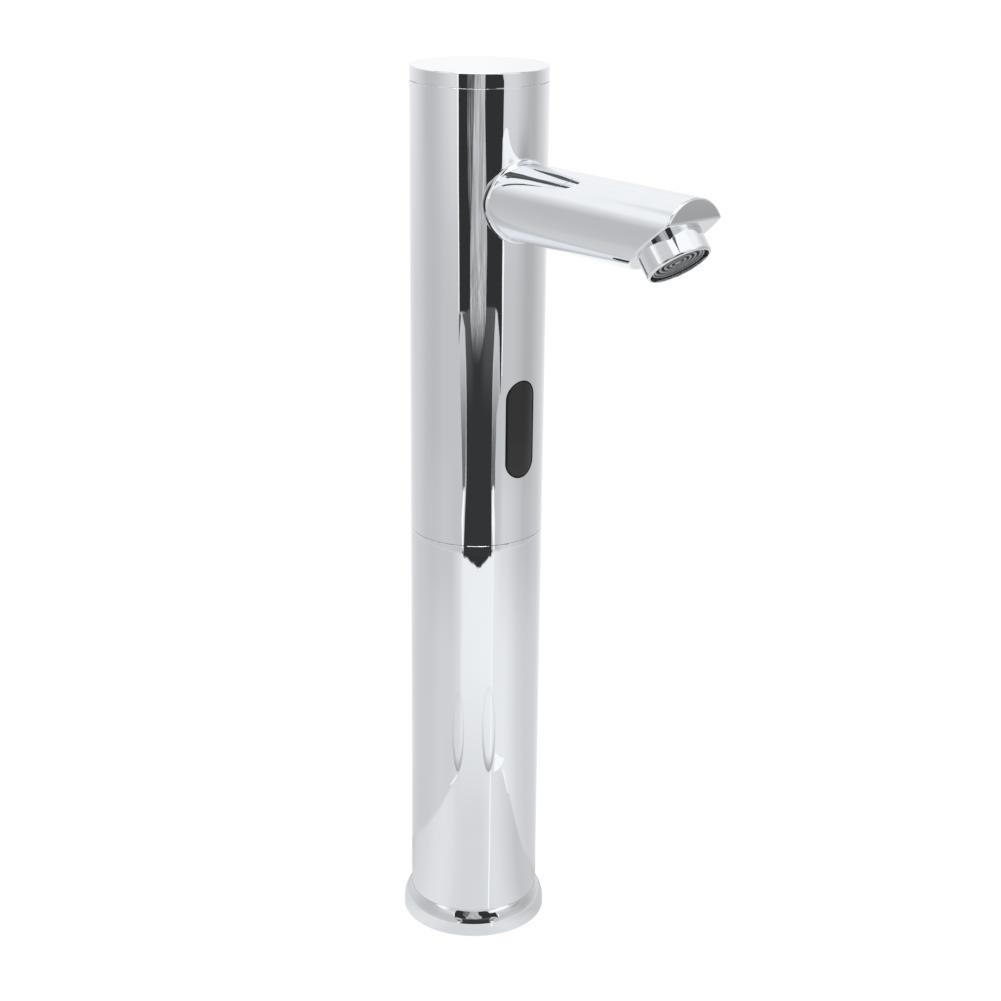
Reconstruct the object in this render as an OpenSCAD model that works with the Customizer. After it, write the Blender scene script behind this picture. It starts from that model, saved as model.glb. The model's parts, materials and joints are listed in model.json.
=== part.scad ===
// Tall touchless basin tap: a round column in two lengths with a flat cap, a straight spout with a
// slanted outlet, and a sensor window under the spout. Inside are the riser, the check valve, the
// solenoid valve, the sensor and the battery case.
// Z is up from the deck, the column stands on the origin and the spout points along -Y.

/* [Column] */
// Outer diameter of the column
body_d = 50; // [49.5:0.1:54]
// Wall of the column's two tubes
body_wall = 2.5; // [2:0.1:2.7]
// Height above the deck of the seam between the lower and the upper body
mid_seam_h = 164.4; // [162:0.2:220]
// Length of the upper body, from the middle seam to the cap's seam
upper_body_h = 167.8; // [166:0.2:200]
// Height of the cap above its seam
cap_h = 5.3; // [3:0.1:8]
// Radius of the cap's polished upper edge
cap_edge = 0.5; // [0.2:0.1:1]
// Bevel on each side of a seam
seam_bevel = 0.2; // [0.1:0.05:0.4]

/* [Base flange] */
// How far the flange stands out from the column
flange_rim = 3.1; // [2.5:0.1:8]
// Height at which the flange's shoulder meets the column
flange_h = 10.3; // [8:0.1:16]
// Height of the flange's upright skirt
flange_skirt_h = 2.2; // [1:0.1:5]
// Thickness of the gasket under the flange
gasket_h = 1.5; // [1:0.1:2]
// Thickness of the flange's inner ledge
ledge_wall = 1.5; // [1.2:0.1:2]

/* [Spout] */
// Outer diameter of the spout
spout_d = 27.8; // [27:0.1:30]
// Wall of the spout
spout_wall = 1.9; // [1.6:0.1:2]
// Distance of the spout's axis below the cap's seam
spout_drop = 40; // [36:0.5:44]
// Distance from the column's axis to the spout's end
spout_reach = 108; // [100:1:180]
// Height above the spout's axis at which the slanted cut starts
cut_rise = 6; // [5:0.1:7]
// Lean of the outlet's axis, forward from straight down
cut_lean = 39.5; // [37:0.5:42]

/* [Outlet] */
// Outer diameter of the outlet collar
collar_d = 23.2; // [22.6:0.1:23.4]
// How far the collar stands out of the slanted face
collar_proud = 8.2; // [7:0.1:10]
// Distance down the slanted face from its upper edge to the collar's axis
collar_from_edge = 14.6; // [14.2:0.1:15]
// Diameter of the collar's open mouth
mouth_d = 21; // [20.6:0.1:21.4]
// Diameter of the aerator's thread
insert_d = 20; // [19.6:0.1:20.2]
// How far the aerator sits back from the collar's rim
insert_recess = 1; // [0.6:0.1:1.4]

/* [Sensor] */
// Width of the window's slot
window_w = 13.5; // [12:0.5:15]
// Height of the window's slot
window_h = 37.3; // [34:0.1:38.5]
// Height of the window's centre above the middle seam
window_rise = 43.6; // [42:0.2:44]
// Wall of the sensor's housing
housing_wall = 1.2; // [1:0.1:1.6]

/* [Water way] */
// Outer diameter of the riser and of the pipe in the spout
pipe_d = 8; // [7.4:0.1:8.2]
// Wall of both pipes
pipe_wall = 1; // [0.6:0.1:1.4]
// Distance of the riser behind the column's axis
riser_back = 10.5; // [10:0.1:11]
// Diameter of the inlet hole, tapped for an M10x1 hose end
inlet_d = 9; // [8.4:0.1:9.4]
// Depth of the inlet hole
inlet_depth = 10; // [8:0.5:10.5]
// Diameter of the hole tapped for an M8 fixing stud
stud_d = 6.8; // [6:0.1:8]
// Depth of the fixing stud's hole
stud_depth = 12; // [10:0.5:12.5]
// Distance of the fixing stud in front of the column's axis
stud_front = 11; // [10:0.5:13]
// Travel of the check valve's poppet
poppet_travel = 2; // [1:0.1:2.5]

/* [Valve] */
// Height of the valve block
block_h = 18; // [18:0.5:20]
// Distance of the valve's axis in front of the column's axis
valve_front = 6.5; // [6.2:0.1:7]
// Outer diameter of the coil
coil_d = 19; // [17:0.1:19.4]
// Length of the coil's bobbin
coil_h = 14.5; // [13:0.1:15.5]
// Diameter of the solenoid's plunger
plunger_d = 7.84; // [7:0.02:8]
// Travel of the plunger
plunger_travel = 1.6; // [1:0.1:2]
// Travel of the diaphragm
diaphragm_travel = 1.2; // [0.8:0.1:1.4]

/* [Battery case] */
// Diameter of a battery cell
cell_d = 14.2; // [13.5:0.1:14.5]
// Length of a battery cell
cell_l = 50.5; // [48:0.1:51.5]
// Wall of the battery case
case_wall = 1.2; // [1:0.1:1.4]

/* [Hidden] */
$fn = 72;
// How far a cut runs past what it cuts
overrun = 1;
// Radial clearances: parts that sit in each other, parts that turn or slide, and loose ones
slip_fit = 0.05;
running_fit = 0.08;
loose_fit = 0.3;
// Steps of a rounded profile
arc_steps = 12;

// Column
body_r = body_d / 2;
body_ir = body_r - body_wall;
top_seam_h = mid_seam_h + upper_body_h;
ledge_h = gasket_h + ledge_wall;
flange_r = body_r + flange_rim;
flange_bore_r = body_r + slip_fit;
// Width of the flange's foot, outside the gasket
foot_w = 1.9;
gasket_r = flange_r - foot_w;
// How far the ledge reaches in under the column's wall and the insert
ledge_reach = 3.3;
ledge_bore_r = body_ir - ledge_reach;

// Base insert
insert_h = 14;
insert_r = body_ir - slip_fit;
insert_boss_r = ledge_bore_r - loose_fit;
riser_boss_r = 7.5;
riser_boss_h = 36;
// Three screws hold the insert in the lower body, behind the flange
insert_screw_count = 3;
insert_screw_rise = 3.8;
insert_screw_h = ledge_h + insert_screw_rise;
insert_screw_l = 6.8;
grub_d = 4;
grub_r = grub_d / 2;
grub_socket_r = 1.15;
grub_socket_depth = 2;
// How far a grub screw sits back from the surface it is driven through
grub_sunk = 0.15;

// Riser and check valve
pipe_r = pipe_d / 2;
pipe_ir = pipe_r - pipe_wall;
pipe_socket_r = pipe_r + slip_fit;
oring_wire_r = 0.5;
oring_groove_r = pipe_socket_r + 2 * oring_wire_r;
oring_groove_h = 1.4;
filter_h = 3;
filter_wall = 0.45;
filter_r = pipe_socket_r - slip_fit;
filter_hole_r = 0.35;
filter_rings = 2;
filter_pitch = 1.35;
seat_hole_r = 2.6;
seat_wall = 2;
seat_h = inlet_depth + filter_h + seat_wall;
poppet_r = 3.3;
poppet_h = 2;
stem_r = 1;
spider_h = 2;
spider_hub_r = 2;
spider_arm_w = 1.2;
spider_count = 3;
spring_wire_r = 0.3;
spring_sides = 6;
spring_rings = 8;
poppet_spring_r = 2.2;
poppet_spring_turns = 6;
// Room that is left between a spring's wires, all turns together, at the end of the travel
poppet_spring_spare = 3.9;
poppet_spring_l = 2 * spring_wire_r * poppet_spring_turns + poppet_travel + poppet_spring_spare;
spider_z = seat_h + poppet_h + poppet_spring_l;
riser_z = spider_z + spider_h;

// Coupling between the two bodies
coupling_half = 14.4;
coupling_wall = 3;
coupling_r = body_ir - slip_fit;
coupling_ir = coupling_r - coupling_wall;
coupling_oring_off = 5;
big_oring_r = 0.6;
big_groove_h = 1.6;
big_groove_r = coupling_r - 2 * big_oring_r - slip_fit;
grub_rise = 10.4;
grub_l = 5.2;

// Cap
cap_skirt_l = 7;
cap_skirt_wall = 2.5;
cap_skirt_r = body_ir - running_fit;
cap_oring_drop = 4.2;

// Spout and its cut end
spout_r = spout_d / 2;
spout_ir = spout_r - spout_wall;
spout_axis_h = top_seam_h - spout_drop;
spout_inset = 3.5;
spout_root = body_ir - spout_inset;
end_wall = 2;
cut_edge_h = spout_axis_h + cut_rise;
foot_front = spout_reach - collar_from_edge * cos(cut_lean);
foot_h = cut_edge_h - collar_from_edge * sin(cut_lean);

// Collar and aerator, measured out from the slanted face
collar_r = collar_d / 2;
collar_edge = 0.9;
mouth_r = mouth_d / 2;
mouth_depth = 2.6;
thread_l = 6.6;
chamber_l = 2.4;
chamber_r = 8.4;
collar_back = 1.6;
collar_l = mouth_depth + thread_l + chamber_l + collar_back;
mouth_z = collar_proud - mouth_depth;
thread_z = mouth_z - thread_l;
chamber_z = thread_z - chamber_l;
collar_z = chamber_z - collar_back;
insert_thread_r = insert_d / 2;
shell_r = insert_thread_r - running_fit;
shell_z = thread_z + loose_fit;
shell_top = collar_proud - insert_recess;
shell_neck_r = 9.4;
shell_ir = 8.8;
shell_ledge_r = 7.6;
shell_ledge_h = 1.2;
shell_ledge_z = shell_z + shell_ledge_h;
regulator_z = shell_ledge_z + shell_ledge_h;
regulator_h = 2.6;
regulator_holes = 8;
regulator_hole_r = 1;
regulator_hole_ring = 6;
screen_h = 0.5;
screen_z = regulator_z + regulator_h;
screen_wall = 0.4;
screen_pitch = 1.4;
grid_z = screen_z + screen_h;
grid_top = shell_top - loose_fit;
grid_wall = 0.5;
grid_rings = 5;
grid_spokes = 6;
grid_hub_r = 1.1;
seal_h = 1.2;

// Sensor
window_z = mid_seam_h + window_rise;
gasket_wall = 0.5;
window_proud = 0.1;
window_flange = 1.1;
window_flange_h = 2.2;
skin_gap = loose_fit;
window_back = body_ir - skin_gap - window_flange_h;
housing_front = window_back;
housing_depth = 11;
housing_back = housing_front - housing_depth;
housing_half_w = 9.4;
housing_half_h = 22;
housing_block_h = 5;
board_wall = 1.6;
board_half_w = 7.8;
board_off = 1.4;
led_r = 2.5;
led_l = 5;
led_off = 9;
cover_wall = 1.4;
cover_screw_r = 1.1;
cover_screw_l = 6;
cover_head_r = 1.9;
cover_head_h = 1.2;
bracket_h = 10;
bracket_wall = 2;
bracket_bar = 2;

// Leads
lead_r = 1.1;
lead_x = 6;
lead_front = 11;

// Valve, measured down from the block
block_gap = 3.8;
block_top = spout_axis_h - spout_r - block_gap;
block_z = block_top - block_h;
block_r = body_ir - loose_fit;
block_ledge_h = 4;
block_ledge_reach = 1.9;
circlip_h = 1.1;
circlip_w = 2;
circlip_bite = 0.7;
circlip_gap_angle = 60;
chamber_depth = 9.5;
valve_chamber_r = 7.2;
valve_seat_r = 4.2;
socket_depth = 6;
riser_top = block_z + socket_depth;
cross_bore_r = 1.6;
cross_bore_z = block_z + chamber_depth - cross_bore_r - slip_fit;
cavity_r = 8.6;
bonnet_r = 12.4;
bonnet_h = 7;
bonnet_z = block_z - bonnet_h;
bonnet_screw_ring = 10.4;
bonnet_screw_count = 4;
bonnet_screw_r = 1.25;
bonnet_head_r = 1.75;
bonnet_head_h = 1.6;
bonnet_screw_bite = 5;
diaphragm_h = 1.8;
diaphragm_r = cavity_r - running_fit;
cavity_spare = 0.4;
cavity_depth = diaphragm_h + diaphragm_travel + cavity_spare;
pilot_r = 0.6;
bleed_r = 0.4;
plunger_r = plunger_d / 2;
plunger_groove_r = 0.8;
core_ir = plunger_r + running_fit;
core_wall = 0.8;
core_r = core_ir + core_wall;
core_plug = 2;
core_over = 0.6;
plate_wall = 1.2;
coil_z = bonnet_z - plate_wall - coil_h;
yoke_z = coil_z - plate_wall;
coil_r = coil_d / 2;
bobbin_wall = 1;
bobbin_r = coil_r + loose_fit;
yoke_r = bobbin_r + slip_fit;
strap_w = 10;
strap_wall = 1.3;
core_z = yoke_z - core_over;
plunger_spring_z = core_z + core_plug;
plunger_spring_r = 2.5;
plunger_spring_turns = 5;
plunger_spring_spare = 1.9;
plunger_spring_l = 2 * spring_wire_r * plunger_spring_turns + plunger_travel + plunger_spring_spare;
plunger_z = plunger_spring_z + plunger_spring_l;
plunger_l = block_z - diaphragm_h - plunger_z;

// Elbow on the valve block and the pipe in the spout
way_rise = 5;
way_h = spout_axis_h + way_rise;
elbow_r = 6.5;
elbow_head = 7;
elbow_boss_r = 5.6;
elbow_front = 17.5;
elbow_spigot_r = 4.9;
elbow_spigot_l = socket_depth;
elbow_socket_l = 5.2;
elbow_bore_r = 3;
way_start = elbow_front - elbow_socket_l;
way_bend_r = 11;
way_turn = 90 - cut_lean;
way_corner = foot_front - (way_h - foot_h) * tan(cut_lean);
way_tangent = way_bend_r * tan(way_turn / 2);
way_bend_front = way_corner - way_tangent;
way_end_z = chamber_z;
way_bend_z = way_tangent - (way_h - foot_h) / cos(cut_lean);
// The drawn bend is a little narrower than the straight lengths and sits in them
way_neck = 0.3;
way_lap = 1;

// Battery case
cradle_wall = 2.5;
cradle_gap = 1;
cradle_z = riser_boss_h + cradle_gap;
cradle_r = body_ir - loose_fit;
cradle_leg_r = 2.5;
cradle_leg_inset = 6.2;
cradle_leg_ring = cradle_r - cradle_leg_inset;
cradle_leg_angles = [-20, 200, 270];
cell_gap = 0.3;
cell_nub_h = 1;
cell_nub_r = 2.7;
contact_h = 0.5;
contact_w = 8;
cell_layer_count = 2;
cell_row_count = 2;
cell_pitch = cell_l + slip_fit;
case_centre_front = 5.2;
case_z = cradle_z + cradle_wall;
case_inner_w = cell_row_count * (cell_d + cell_gap) + cell_gap;
case_inner_d = cell_d + 2 * cell_gap;
case_inner_h = cell_layer_count * cell_pitch + 2 * contact_h + cell_gap;
case_w = case_inner_w + 2 * case_wall;
case_h = case_inner_h + 2 * case_wall;
case_front = case_centre_front + case_inner_d / 2;
case_back = case_front - case_inner_d - case_wall;
case_top = case_z + case_h;
// The case's front corners follow a circle round the column's axis, just outside the cells
case_inner_r = norm([(cell_d + cell_gap) / 2, case_centre_front]) + cell_d / 2 + cell_gap;
case_r = case_inner_r + case_wall;

// Points of a quarter arc with its own radius each way, from the side round to the top
function quarter_arc(centre_r, centre_z, wide, high) = [
    for (i = [0 : arc_steps])
        [centre_r + wide * cos(90 * i / arc_steps), centre_z + high * sin(90 * i / arc_steps)]
];

// Points of a round shoulder that starts upright at its foot and leans in by the given reach
function shoulder_arc(foot_r, foot_z, reach, rise) = let (
    curve_r = (rise * rise + reach * reach) / (2 * reach),
    turn = asin(rise / curve_r)
) [
    for (i = [0 : arc_steps])
        let (a = turn * i / arc_steps)
        [foot_r - curve_r * (1 - cos(a)), foot_z + curve_r * sin(a)]
];

// One ring of a round wire that is wound about Z
function wire_ring(coil_r, wire_r, turn, rise) = [
    for (s = [0 : spring_sides - 1])
        let (a = 360 * s / spring_sides)
            [(coil_r + wire_r * cos(a)) * cos(turn), (coil_r + wire_r * cos(a)) * sin(turn),
             rise + wire_r * sin(a)]
];

// All rings of a coil of the given free length between its two seats
function coil_rings(coil_r, wire_r, length, turns) = [
    for (i = [0 : turns * spring_rings])
        wire_ring(coil_r, wire_r, 360 * i / spring_rings,
                  wire_r + (length - 2 * wire_r) * i / (turns * spring_rings))
];

function flat_list(rings) = [for (ring = rings) each ring];

// Least distance between the wires of neighbouring turns, measured on the ring's points
function coil_gap(rings) = min([
    for (i = [0 : len(rings) - spring_rings - 1], a = rings[i], b = rings[i + spring_rings]) norm(a - b)
]);

module ring(outer, inner, high) {
    difference() {
        cylinder(r = outer, h = high);
        translate([0, 0, -overrun]) cylinder(r = inner, h = high + 2 * overrun);
    }
}

module torus(centre_r, wire_r) {
    rotate_extrude() translate([centre_r, 0]) circle(r = wire_r, $fn = 24);
}

module wire_coil(coil_r, wire_r, length, turns) {
    rings = coil_rings(coil_r, wire_r, length, turns);
    count = len(rings);
    sides = spring_sides;
    faces = concat(
        [for (i = [0 : count - 2], s = [0 : sides - 1]) let (t = (s + 1) % sides)
            [i * sides + s, i * sides + t, (i + 1) * sides + t]],
        [for (i = [0 : count - 2], s = [0 : sides - 1]) let (t = (s + 1) % sides)
            [i * sides + s, (i + 1) * sides + t, (i + 1) * sides + s]],
        [for (s = [1 : sides - 2]) [0, s + 1, s]],
        [for (s = [1 : sides - 2]) let (last = (count - 1) * sides) [last, last + s, last + s + 1]]
    );
    polyhedron(points = flat_list(rings), faces = faces);
}

// Turns Z to the front, or to the back, of the tap
module to_front() {
    rotate([90, 0, 0]) children();
}

module to_back() {
    rotate([-90, 0, 0]) children();
}

// Puts the collar's foot at the origin of the child, with Z out of the slanted face
module at_outlet() {
    translate([0, -foot_front, foot_h]) rotate([180 - cut_lean, 0, 0]) children();
}

module at_valve(z) {
    translate([0, -valve_front, z]) children();
}

module at_riser(z) {
    translate([0, riser_back, z]) children();
}

module stadium(wide, high) {
    reach = (high - wide) / 2;
    union() {
        translate([0, reach]) circle(d = wide);
        translate([0, -reach]) circle(d = wide);
        square([wide, 2 * reach], center = true);
    }
}

// A stadium plate at the window, from one distance in front of the axis to another
module window_plate(wide, high, from, to) {
    translate([0, -from, window_z]) to_front() linear_extrude(to - from) stadium(wide, high);
}

module hex_socket(across_r, depth) {
    translate([0, 0, -depth]) cylinder(r = across_r, h = depth + overrun, $fn = 6);
}

// A grub screw along Z with its socket at the top
module socket_grub(long) {
    difference() {
        cylinder(r = grub_r - slip_fit, h = long);
        translate([0, 0, long]) hex_socket(grub_socket_r, grub_socket_depth);
    }
}

// Base

module base_flange() {
    color("silver") rotate_extrude() polygon(concat(
        [[gasket_r, 0], [flange_r, 0]],
        shoulder_arc(flange_r, flange_skirt_h, flange_r - flange_bore_r, flange_h - flange_skirt_h),
        [[flange_bore_r, ledge_h], [ledge_bore_r, ledge_h], [ledge_bore_r, gasket_h], [gasket_r, gasket_h]]
    ));
}

module base_gasket() {
    color("dimgray") ring(gasket_r - slip_fit, ledge_bore_r, gasket_h);
}

module insert_screw_hole(r, from, to) {
    for (i = [0 : insert_screw_count - 1]) {
        rotate([0, 0, 90 + 360 * i / insert_screw_count]) translate([from, 0, insert_screw_h])
            rotate([0, 90, 0]) cylinder(r = r, h = to - from);
    }
}

module base_insert() {
    color("goldenrod") difference() {
        union() {
            cylinder(r = insert_boss_r, h = insert_h);
            translate([0, 0, ledge_h]) cylinder(r = insert_r, h = insert_h - ledge_h);
            at_riser(ledge_h) cylinder(r = riser_boss_r, h = riser_boss_h - ledge_h);
        }
        at_riser(-overrun) cylinder(d = inlet_d, h = inlet_depth + overrun);
        at_riser(0) cylinder(r = pipe_socket_r, h = inlet_depth + filter_h);
        at_riser(0) cylinder(r = seat_hole_r, h = riser_boss_h);
        at_riser(seat_h) cylinder(r = pipe_socket_r, h = riser_boss_h);
        at_riser((riser_z + riser_boss_h - oring_groove_h) / 2)
            cylinder(r = oring_groove_r, h = oring_groove_h);
        translate([0, -stud_front, -overrun]) cylinder(d = stud_d, h = stud_depth + overrun);
        insert_screw_hole(grub_r, body_r - grub_sunk - insert_screw_l, body_r);
    }
}

module base_screws() {
    color("gray") for (i = [0 : insert_screw_count - 1]) {
        rotate([0, 0, 90 + 360 * i / insert_screw_count])
            translate([body_r - grub_sunk - insert_screw_l, 0, insert_screw_h])
            rotate([0, 90, 0]) socket_grub(insert_screw_l);
    }
}

module inlet_filter() {
    color("lightgray") at_riser(inlet_depth) difference() {
        cylinder(r = filter_r, h = filter_h);
        translate([0, 0, -overrun])
            cylinder(r = filter_r - filter_wall, h = filter_h - filter_wall + overrun);
        cylinder(r = filter_hole_r, h = filter_h + overrun);
        for (k = [1 : filter_rings], i = [0 : 6 * k - 1]) {
            rotate([0, 0, 60 * i / k]) translate([k * filter_pitch, 0, 0])
                cylinder(r = filter_hole_r, h = filter_h + overrun);
        }
    }
}

module check_poppet() {
    color("white") at_riser(seat_h) union() {
        cylinder(r = poppet_r, h = poppet_h);
        cylinder(r = stem_r, h = riser_z - seat_h);
    }
}

module check_spring() {
    color("silver") at_riser(seat_h + poppet_h)
        wire_coil(poppet_spring_r, spring_wire_r, poppet_spring_l, poppet_spring_turns);
}

module check_spider() {
    color("white") at_riser(spider_z) difference() {
        union() {
            ring(pipe_r, pipe_r - pipe_wall, spider_h);
            cylinder(r = spider_hub_r, h = spider_h);
            for (i = [0 : spider_count - 1]) {
                rotate([0, 0, 360 * i / spider_count]) translate([0, -spider_arm_w / 2, 0])
                    cube([pipe_r - pipe_wall / 2, spider_arm_w, spider_h]);
            }
        }
        translate([0, 0, -overrun]) cylinder(r = stem_r + running_fit, h = spider_h + 2 * overrun);
    }
}

module riser_pipe() {
    color("peru") at_riser(riser_z) ring(pipe_r, pipe_ir, riser_top - riser_z);
}

module riser_orings() {
    color("black") {
        at_riser((riser_z + riser_boss_h) / 2) torus(pipe_socket_r + oring_wire_r, oring_wire_r);
        at_riser(block_z + socket_depth / 2) torus(pipe_socket_r + oring_wire_r, oring_wire_r);
    }
}

// Column

// A tube of the column with a bevelled outer edge at one or both ends
module body_tube(bottom, top, bottom_bevel, top_bevel) {
    rotate_extrude() polygon([
        [body_ir, bottom], [body_r - bottom_bevel, bottom], [body_r, bottom + bottom_bevel],
        [body_r, top - top_bevel], [body_r - top_bevel, top], [body_ir, top]
    ]);
}

module lower_body() {
    color("silver") difference() {
        body_tube(ledge_h, mid_seam_h, seam_bevel, seam_bevel);
        insert_screw_hole(grub_r, body_ir - overrun, body_r + overrun);
    }
}

module coupling_ring() {
    color("goldenrod") difference() {
        translate([0, 0, mid_seam_h - coupling_half]) ring(coupling_r, coupling_ir, 2 * coupling_half);
        for (side = [-1, 1]) {
            translate([0, 0, mid_seam_h + side * coupling_oring_off - big_groove_h / 2])
                ring(body_r, big_groove_r, big_groove_h);
        }
        translate([0, 0, mid_seam_h + grub_rise]) to_back() cylinder(r = grub_r, h = body_r);
    }
}

module coupling_orings() {
    color("black") for (side = [-1, 1]) {
        translate([0, 0, mid_seam_h + side * coupling_oring_off])
            torus(coupling_r - big_oring_r, big_oring_r);
    }
}

module grub_screw() {
    color("gray") translate([0, body_r - grub_sunk - grub_l, mid_seam_h + grub_rise])
        to_back() socket_grub(grub_l);
}

module upper_body() {
    color("silver") difference() {
        union() {
            body_tube(mid_seam_h, top_seam_h, seam_bevel, seam_bevel);
            translate([0, 0, block_z - block_ledge_h])
                ring(body_ir + body_wall / 2, body_ir - block_ledge_reach, block_ledge_h);
        }
        translate([0, 0, spout_axis_h]) to_front() cylinder(r = spout_r + slip_fit, h = 2 * body_r);
        window_plate(window_w, window_h, window_back, 2 * body_r);
        translate([0, 0, mid_seam_h + grub_rise]) to_back() cylinder(r = grub_r, h = 2 * body_r);
        translate([0, 0, block_top])
            ring(body_ir + circlip_bite + slip_fit, body_ir - overrun, circlip_h + slip_fit);
        // Room for the valve's bonnet, which hangs down through the ledge
        at_valve(bonnet_z - loose_fit) cylinder(r = bonnet_r + loose_fit, h = bonnet_h + loose_fit);
    }
}

module top_cap() {
    color("silver") rotate_extrude() polygon(concat(
        [[0, top_seam_h], [cap_skirt_r - cap_skirt_wall, top_seam_h],
         [cap_skirt_r - cap_skirt_wall, top_seam_h - cap_skirt_l], [cap_skirt_r, top_seam_h - cap_skirt_l],
         [cap_skirt_r, top_seam_h - cap_oring_drop - big_groove_h / 2],
         [cap_skirt_r - 2 * big_oring_r, top_seam_h - cap_oring_drop - big_groove_h / 2],
         [cap_skirt_r - 2 * big_oring_r, top_seam_h - cap_oring_drop + big_groove_h / 2],
         [cap_skirt_r, top_seam_h - cap_oring_drop + big_groove_h / 2],
         [cap_skirt_r, top_seam_h], [body_r - seam_bevel, top_seam_h], [body_r, top_seam_h + seam_bevel]],
        quarter_arc(body_r - cap_edge, top_seam_h + cap_h - cap_edge, cap_edge, cap_edge),
        [[0, top_seam_h + cap_h]]
    ));
}

module cap_oring() {
    color("black") translate([0, 0, top_seam_h - cap_oring_drop])
        torus(cap_skirt_r - big_oring_r + slip_fit / 2, big_oring_r);
}

// Spout and outlet

// A round bar along the spout's axis, cut square in front and along the slanted plane below
module cut_bar(r, from, to, inset) {
    difference() {
        translate([0, -from, spout_axis_h]) to_front() cylinder(r = r, h = to - from);
        at_outlet() translate([-spout_d, -spout_reach, -inset])
            cube([2 * spout_d, 2 * spout_reach, spout_reach]);
    }
}

module spout() {
    color("silver") difference() {
        cut_bar(spout_r, spout_root, spout_reach, 0);
        cut_bar(spout_ir, spout_root - overrun, spout_reach - end_wall, end_wall);
        at_outlet() translate([0, 0, -end_wall - overrun])
            cylinder(r = collar_r + slip_fit, h = end_wall + 2 * overrun);
    }
}

module outlet_collar() {
    color("silver") at_outlet() rotate_extrude() polygon(concat(
        [[pipe_socket_r, collar_z], [collar_r, collar_z]],
        quarter_arc(collar_r - collar_edge, collar_proud - collar_edge, collar_edge, collar_edge),
        [[mouth_r, collar_proud], [mouth_r, mouth_z], [insert_thread_r, mouth_z], [insert_thread_r, thread_z],
         [chamber_r, thread_z], [chamber_r, chamber_z], [pipe_socket_r, chamber_z]]
    ));
}

module aerator_shell() {
    color("lightgray") at_outlet() rotate_extrude() polygon([
        [shell_ir, shell_z], [shell_r, shell_z], [shell_r, mouth_z], [shell_neck_r, mouth_z],
        [shell_neck_r, shell_top], [shell_ir, shell_top], [shell_ir, regulator_z],
        [shell_ledge_r, regulator_z], [shell_ledge_r, shell_ledge_z], [shell_ir, shell_ledge_z]
    ]);
}

module aerator_grid() {
    pitch = (shell_ir - slip_fit - grid_hub_r) / grid_rings;
    color("gray") at_outlet() translate([0, 0, grid_z]) union() {
        cylinder(r = grid_hub_r, h = grid_top - grid_z);
        for (k = [1 : grid_rings]) {
            ring(grid_hub_r + k * pitch, grid_hub_r + k * pitch - grid_wall, grid_top - grid_z);
        }
        for (i = [0 : grid_spokes - 1]) {
            rotate([0, 0, 360 * i / grid_spokes]) translate([0, -grid_wall / 2, 0])
                cube([shell_ir - slip_fit - grid_wall / 2, grid_wall, (grid_top - grid_z) / 2]);
        }
    }
}

module aerator_screen() {
    holes = ceil(shell_ir / screen_pitch);
    gap = screen_pitch - screen_wall;
    color("silver") at_outlet() translate([0, 0, screen_z]) intersection() {
        cylinder(r = shell_ir - slip_fit, h = screen_h);
        difference() {
            cylinder(r = shell_ir, h = screen_h);
            for (x = [-holes : holes], y = [-holes : holes]) {
                if (norm([x, y]) * screen_pitch < shell_ir - screen_pitch) {
                    translate([x * screen_pitch, y * screen_pitch, screen_h / 2])
                        cube([gap, gap, 2 * screen_h], center = true);
                }
            }
        }
    }
}

module flow_regulator() {
    color("white") at_outlet() translate([0, 0, regulator_z]) difference() {
        cylinder(r = shell_ir - slip_fit, h = regulator_h);
        for (i = [0 : regulator_holes - 1]) {
            rotate([0, 0, 360 * i / regulator_holes]) translate([regulator_hole_ring, 0, -overrun])
                cylinder(r = regulator_hole_r, h = regulator_h + 2 * overrun);
        }
    }
}

module aerator_seal() {
    color("black") at_outlet() translate([0, 0, mouth_z + slip_fit])
        ring(mouth_r - running_fit, shell_neck_r + running_fit, seal_h);
}

// Sensor

module sensor_window() {
    color("black") intersection() {
        union() {
            window_plate(window_w - 2 * gasket_wall, window_h - 2 * gasket_wall, window_back, 2 * body_r);
            intersection() {
                window_plate(window_w + 2 * window_flange, window_h + 2 * window_flange, window_back, body_r);
                cylinder(r = body_ir - skin_gap, h = top_seam_h);
            }
        }
        cylinder(r = body_r + window_proud, h = top_seam_h);
    }
}

module window_gasket() {
    color("dimgray") intersection() {
        difference() {
            window_plate(window_w - 2 * slip_fit, window_h - 2 * slip_fit, window_back, 2 * body_r);
            window_plate(window_w - 2 * gasket_wall + slip_fit, window_h - 2 * gasket_wall + slip_fit,
                         window_back - overrun, 3 * body_r);
        }
        translate([0, 0, mid_seam_h]) ring(body_r, body_ir - skin_gap, upper_body_h);
    }
}

// A block across the housing, from one distance in front of the axis to another
module housing_slab(half_w, half_h, from, to) {
    intersection() {
        translate([-half_w, -to, window_z - half_h]) cube([2 * half_w, to - from, 2 * half_h]);
        cylinder(r = body_ir - loose_fit, h = top_seam_h);
    }
}

module cover_screw_holes(from, to) {
    for (side = [-1, 1]) {
        translate([0, -to, window_z + side * (housing_half_h - housing_block_h / 2)])
            to_back() cylinder(r = cover_screw_r, h = to - from);
    }
}

module sensor_housing() {
    color("dimgray") difference() {
        housing_slab(housing_half_w, housing_half_h, housing_back, housing_front);
        housing_slab(housing_half_w - housing_wall, housing_half_h - housing_block_h,
                     housing_back - overrun, housing_front - housing_wall);
        for (side = [-1, 1]) {
            translate([0, -housing_back, window_z + side * led_off])
                to_front() cylinder(r = led_r + loose_fit, h = body_r);
        }
        cover_screw_holes(housing_back - overrun, housing_back + cover_screw_l);
    }
}

module sensor_board() {
    color("green") housing_slab(board_half_w, housing_half_h - housing_block_h - loose_fit,
                                housing_back + board_off, housing_back + board_off + board_wall);
}

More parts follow.
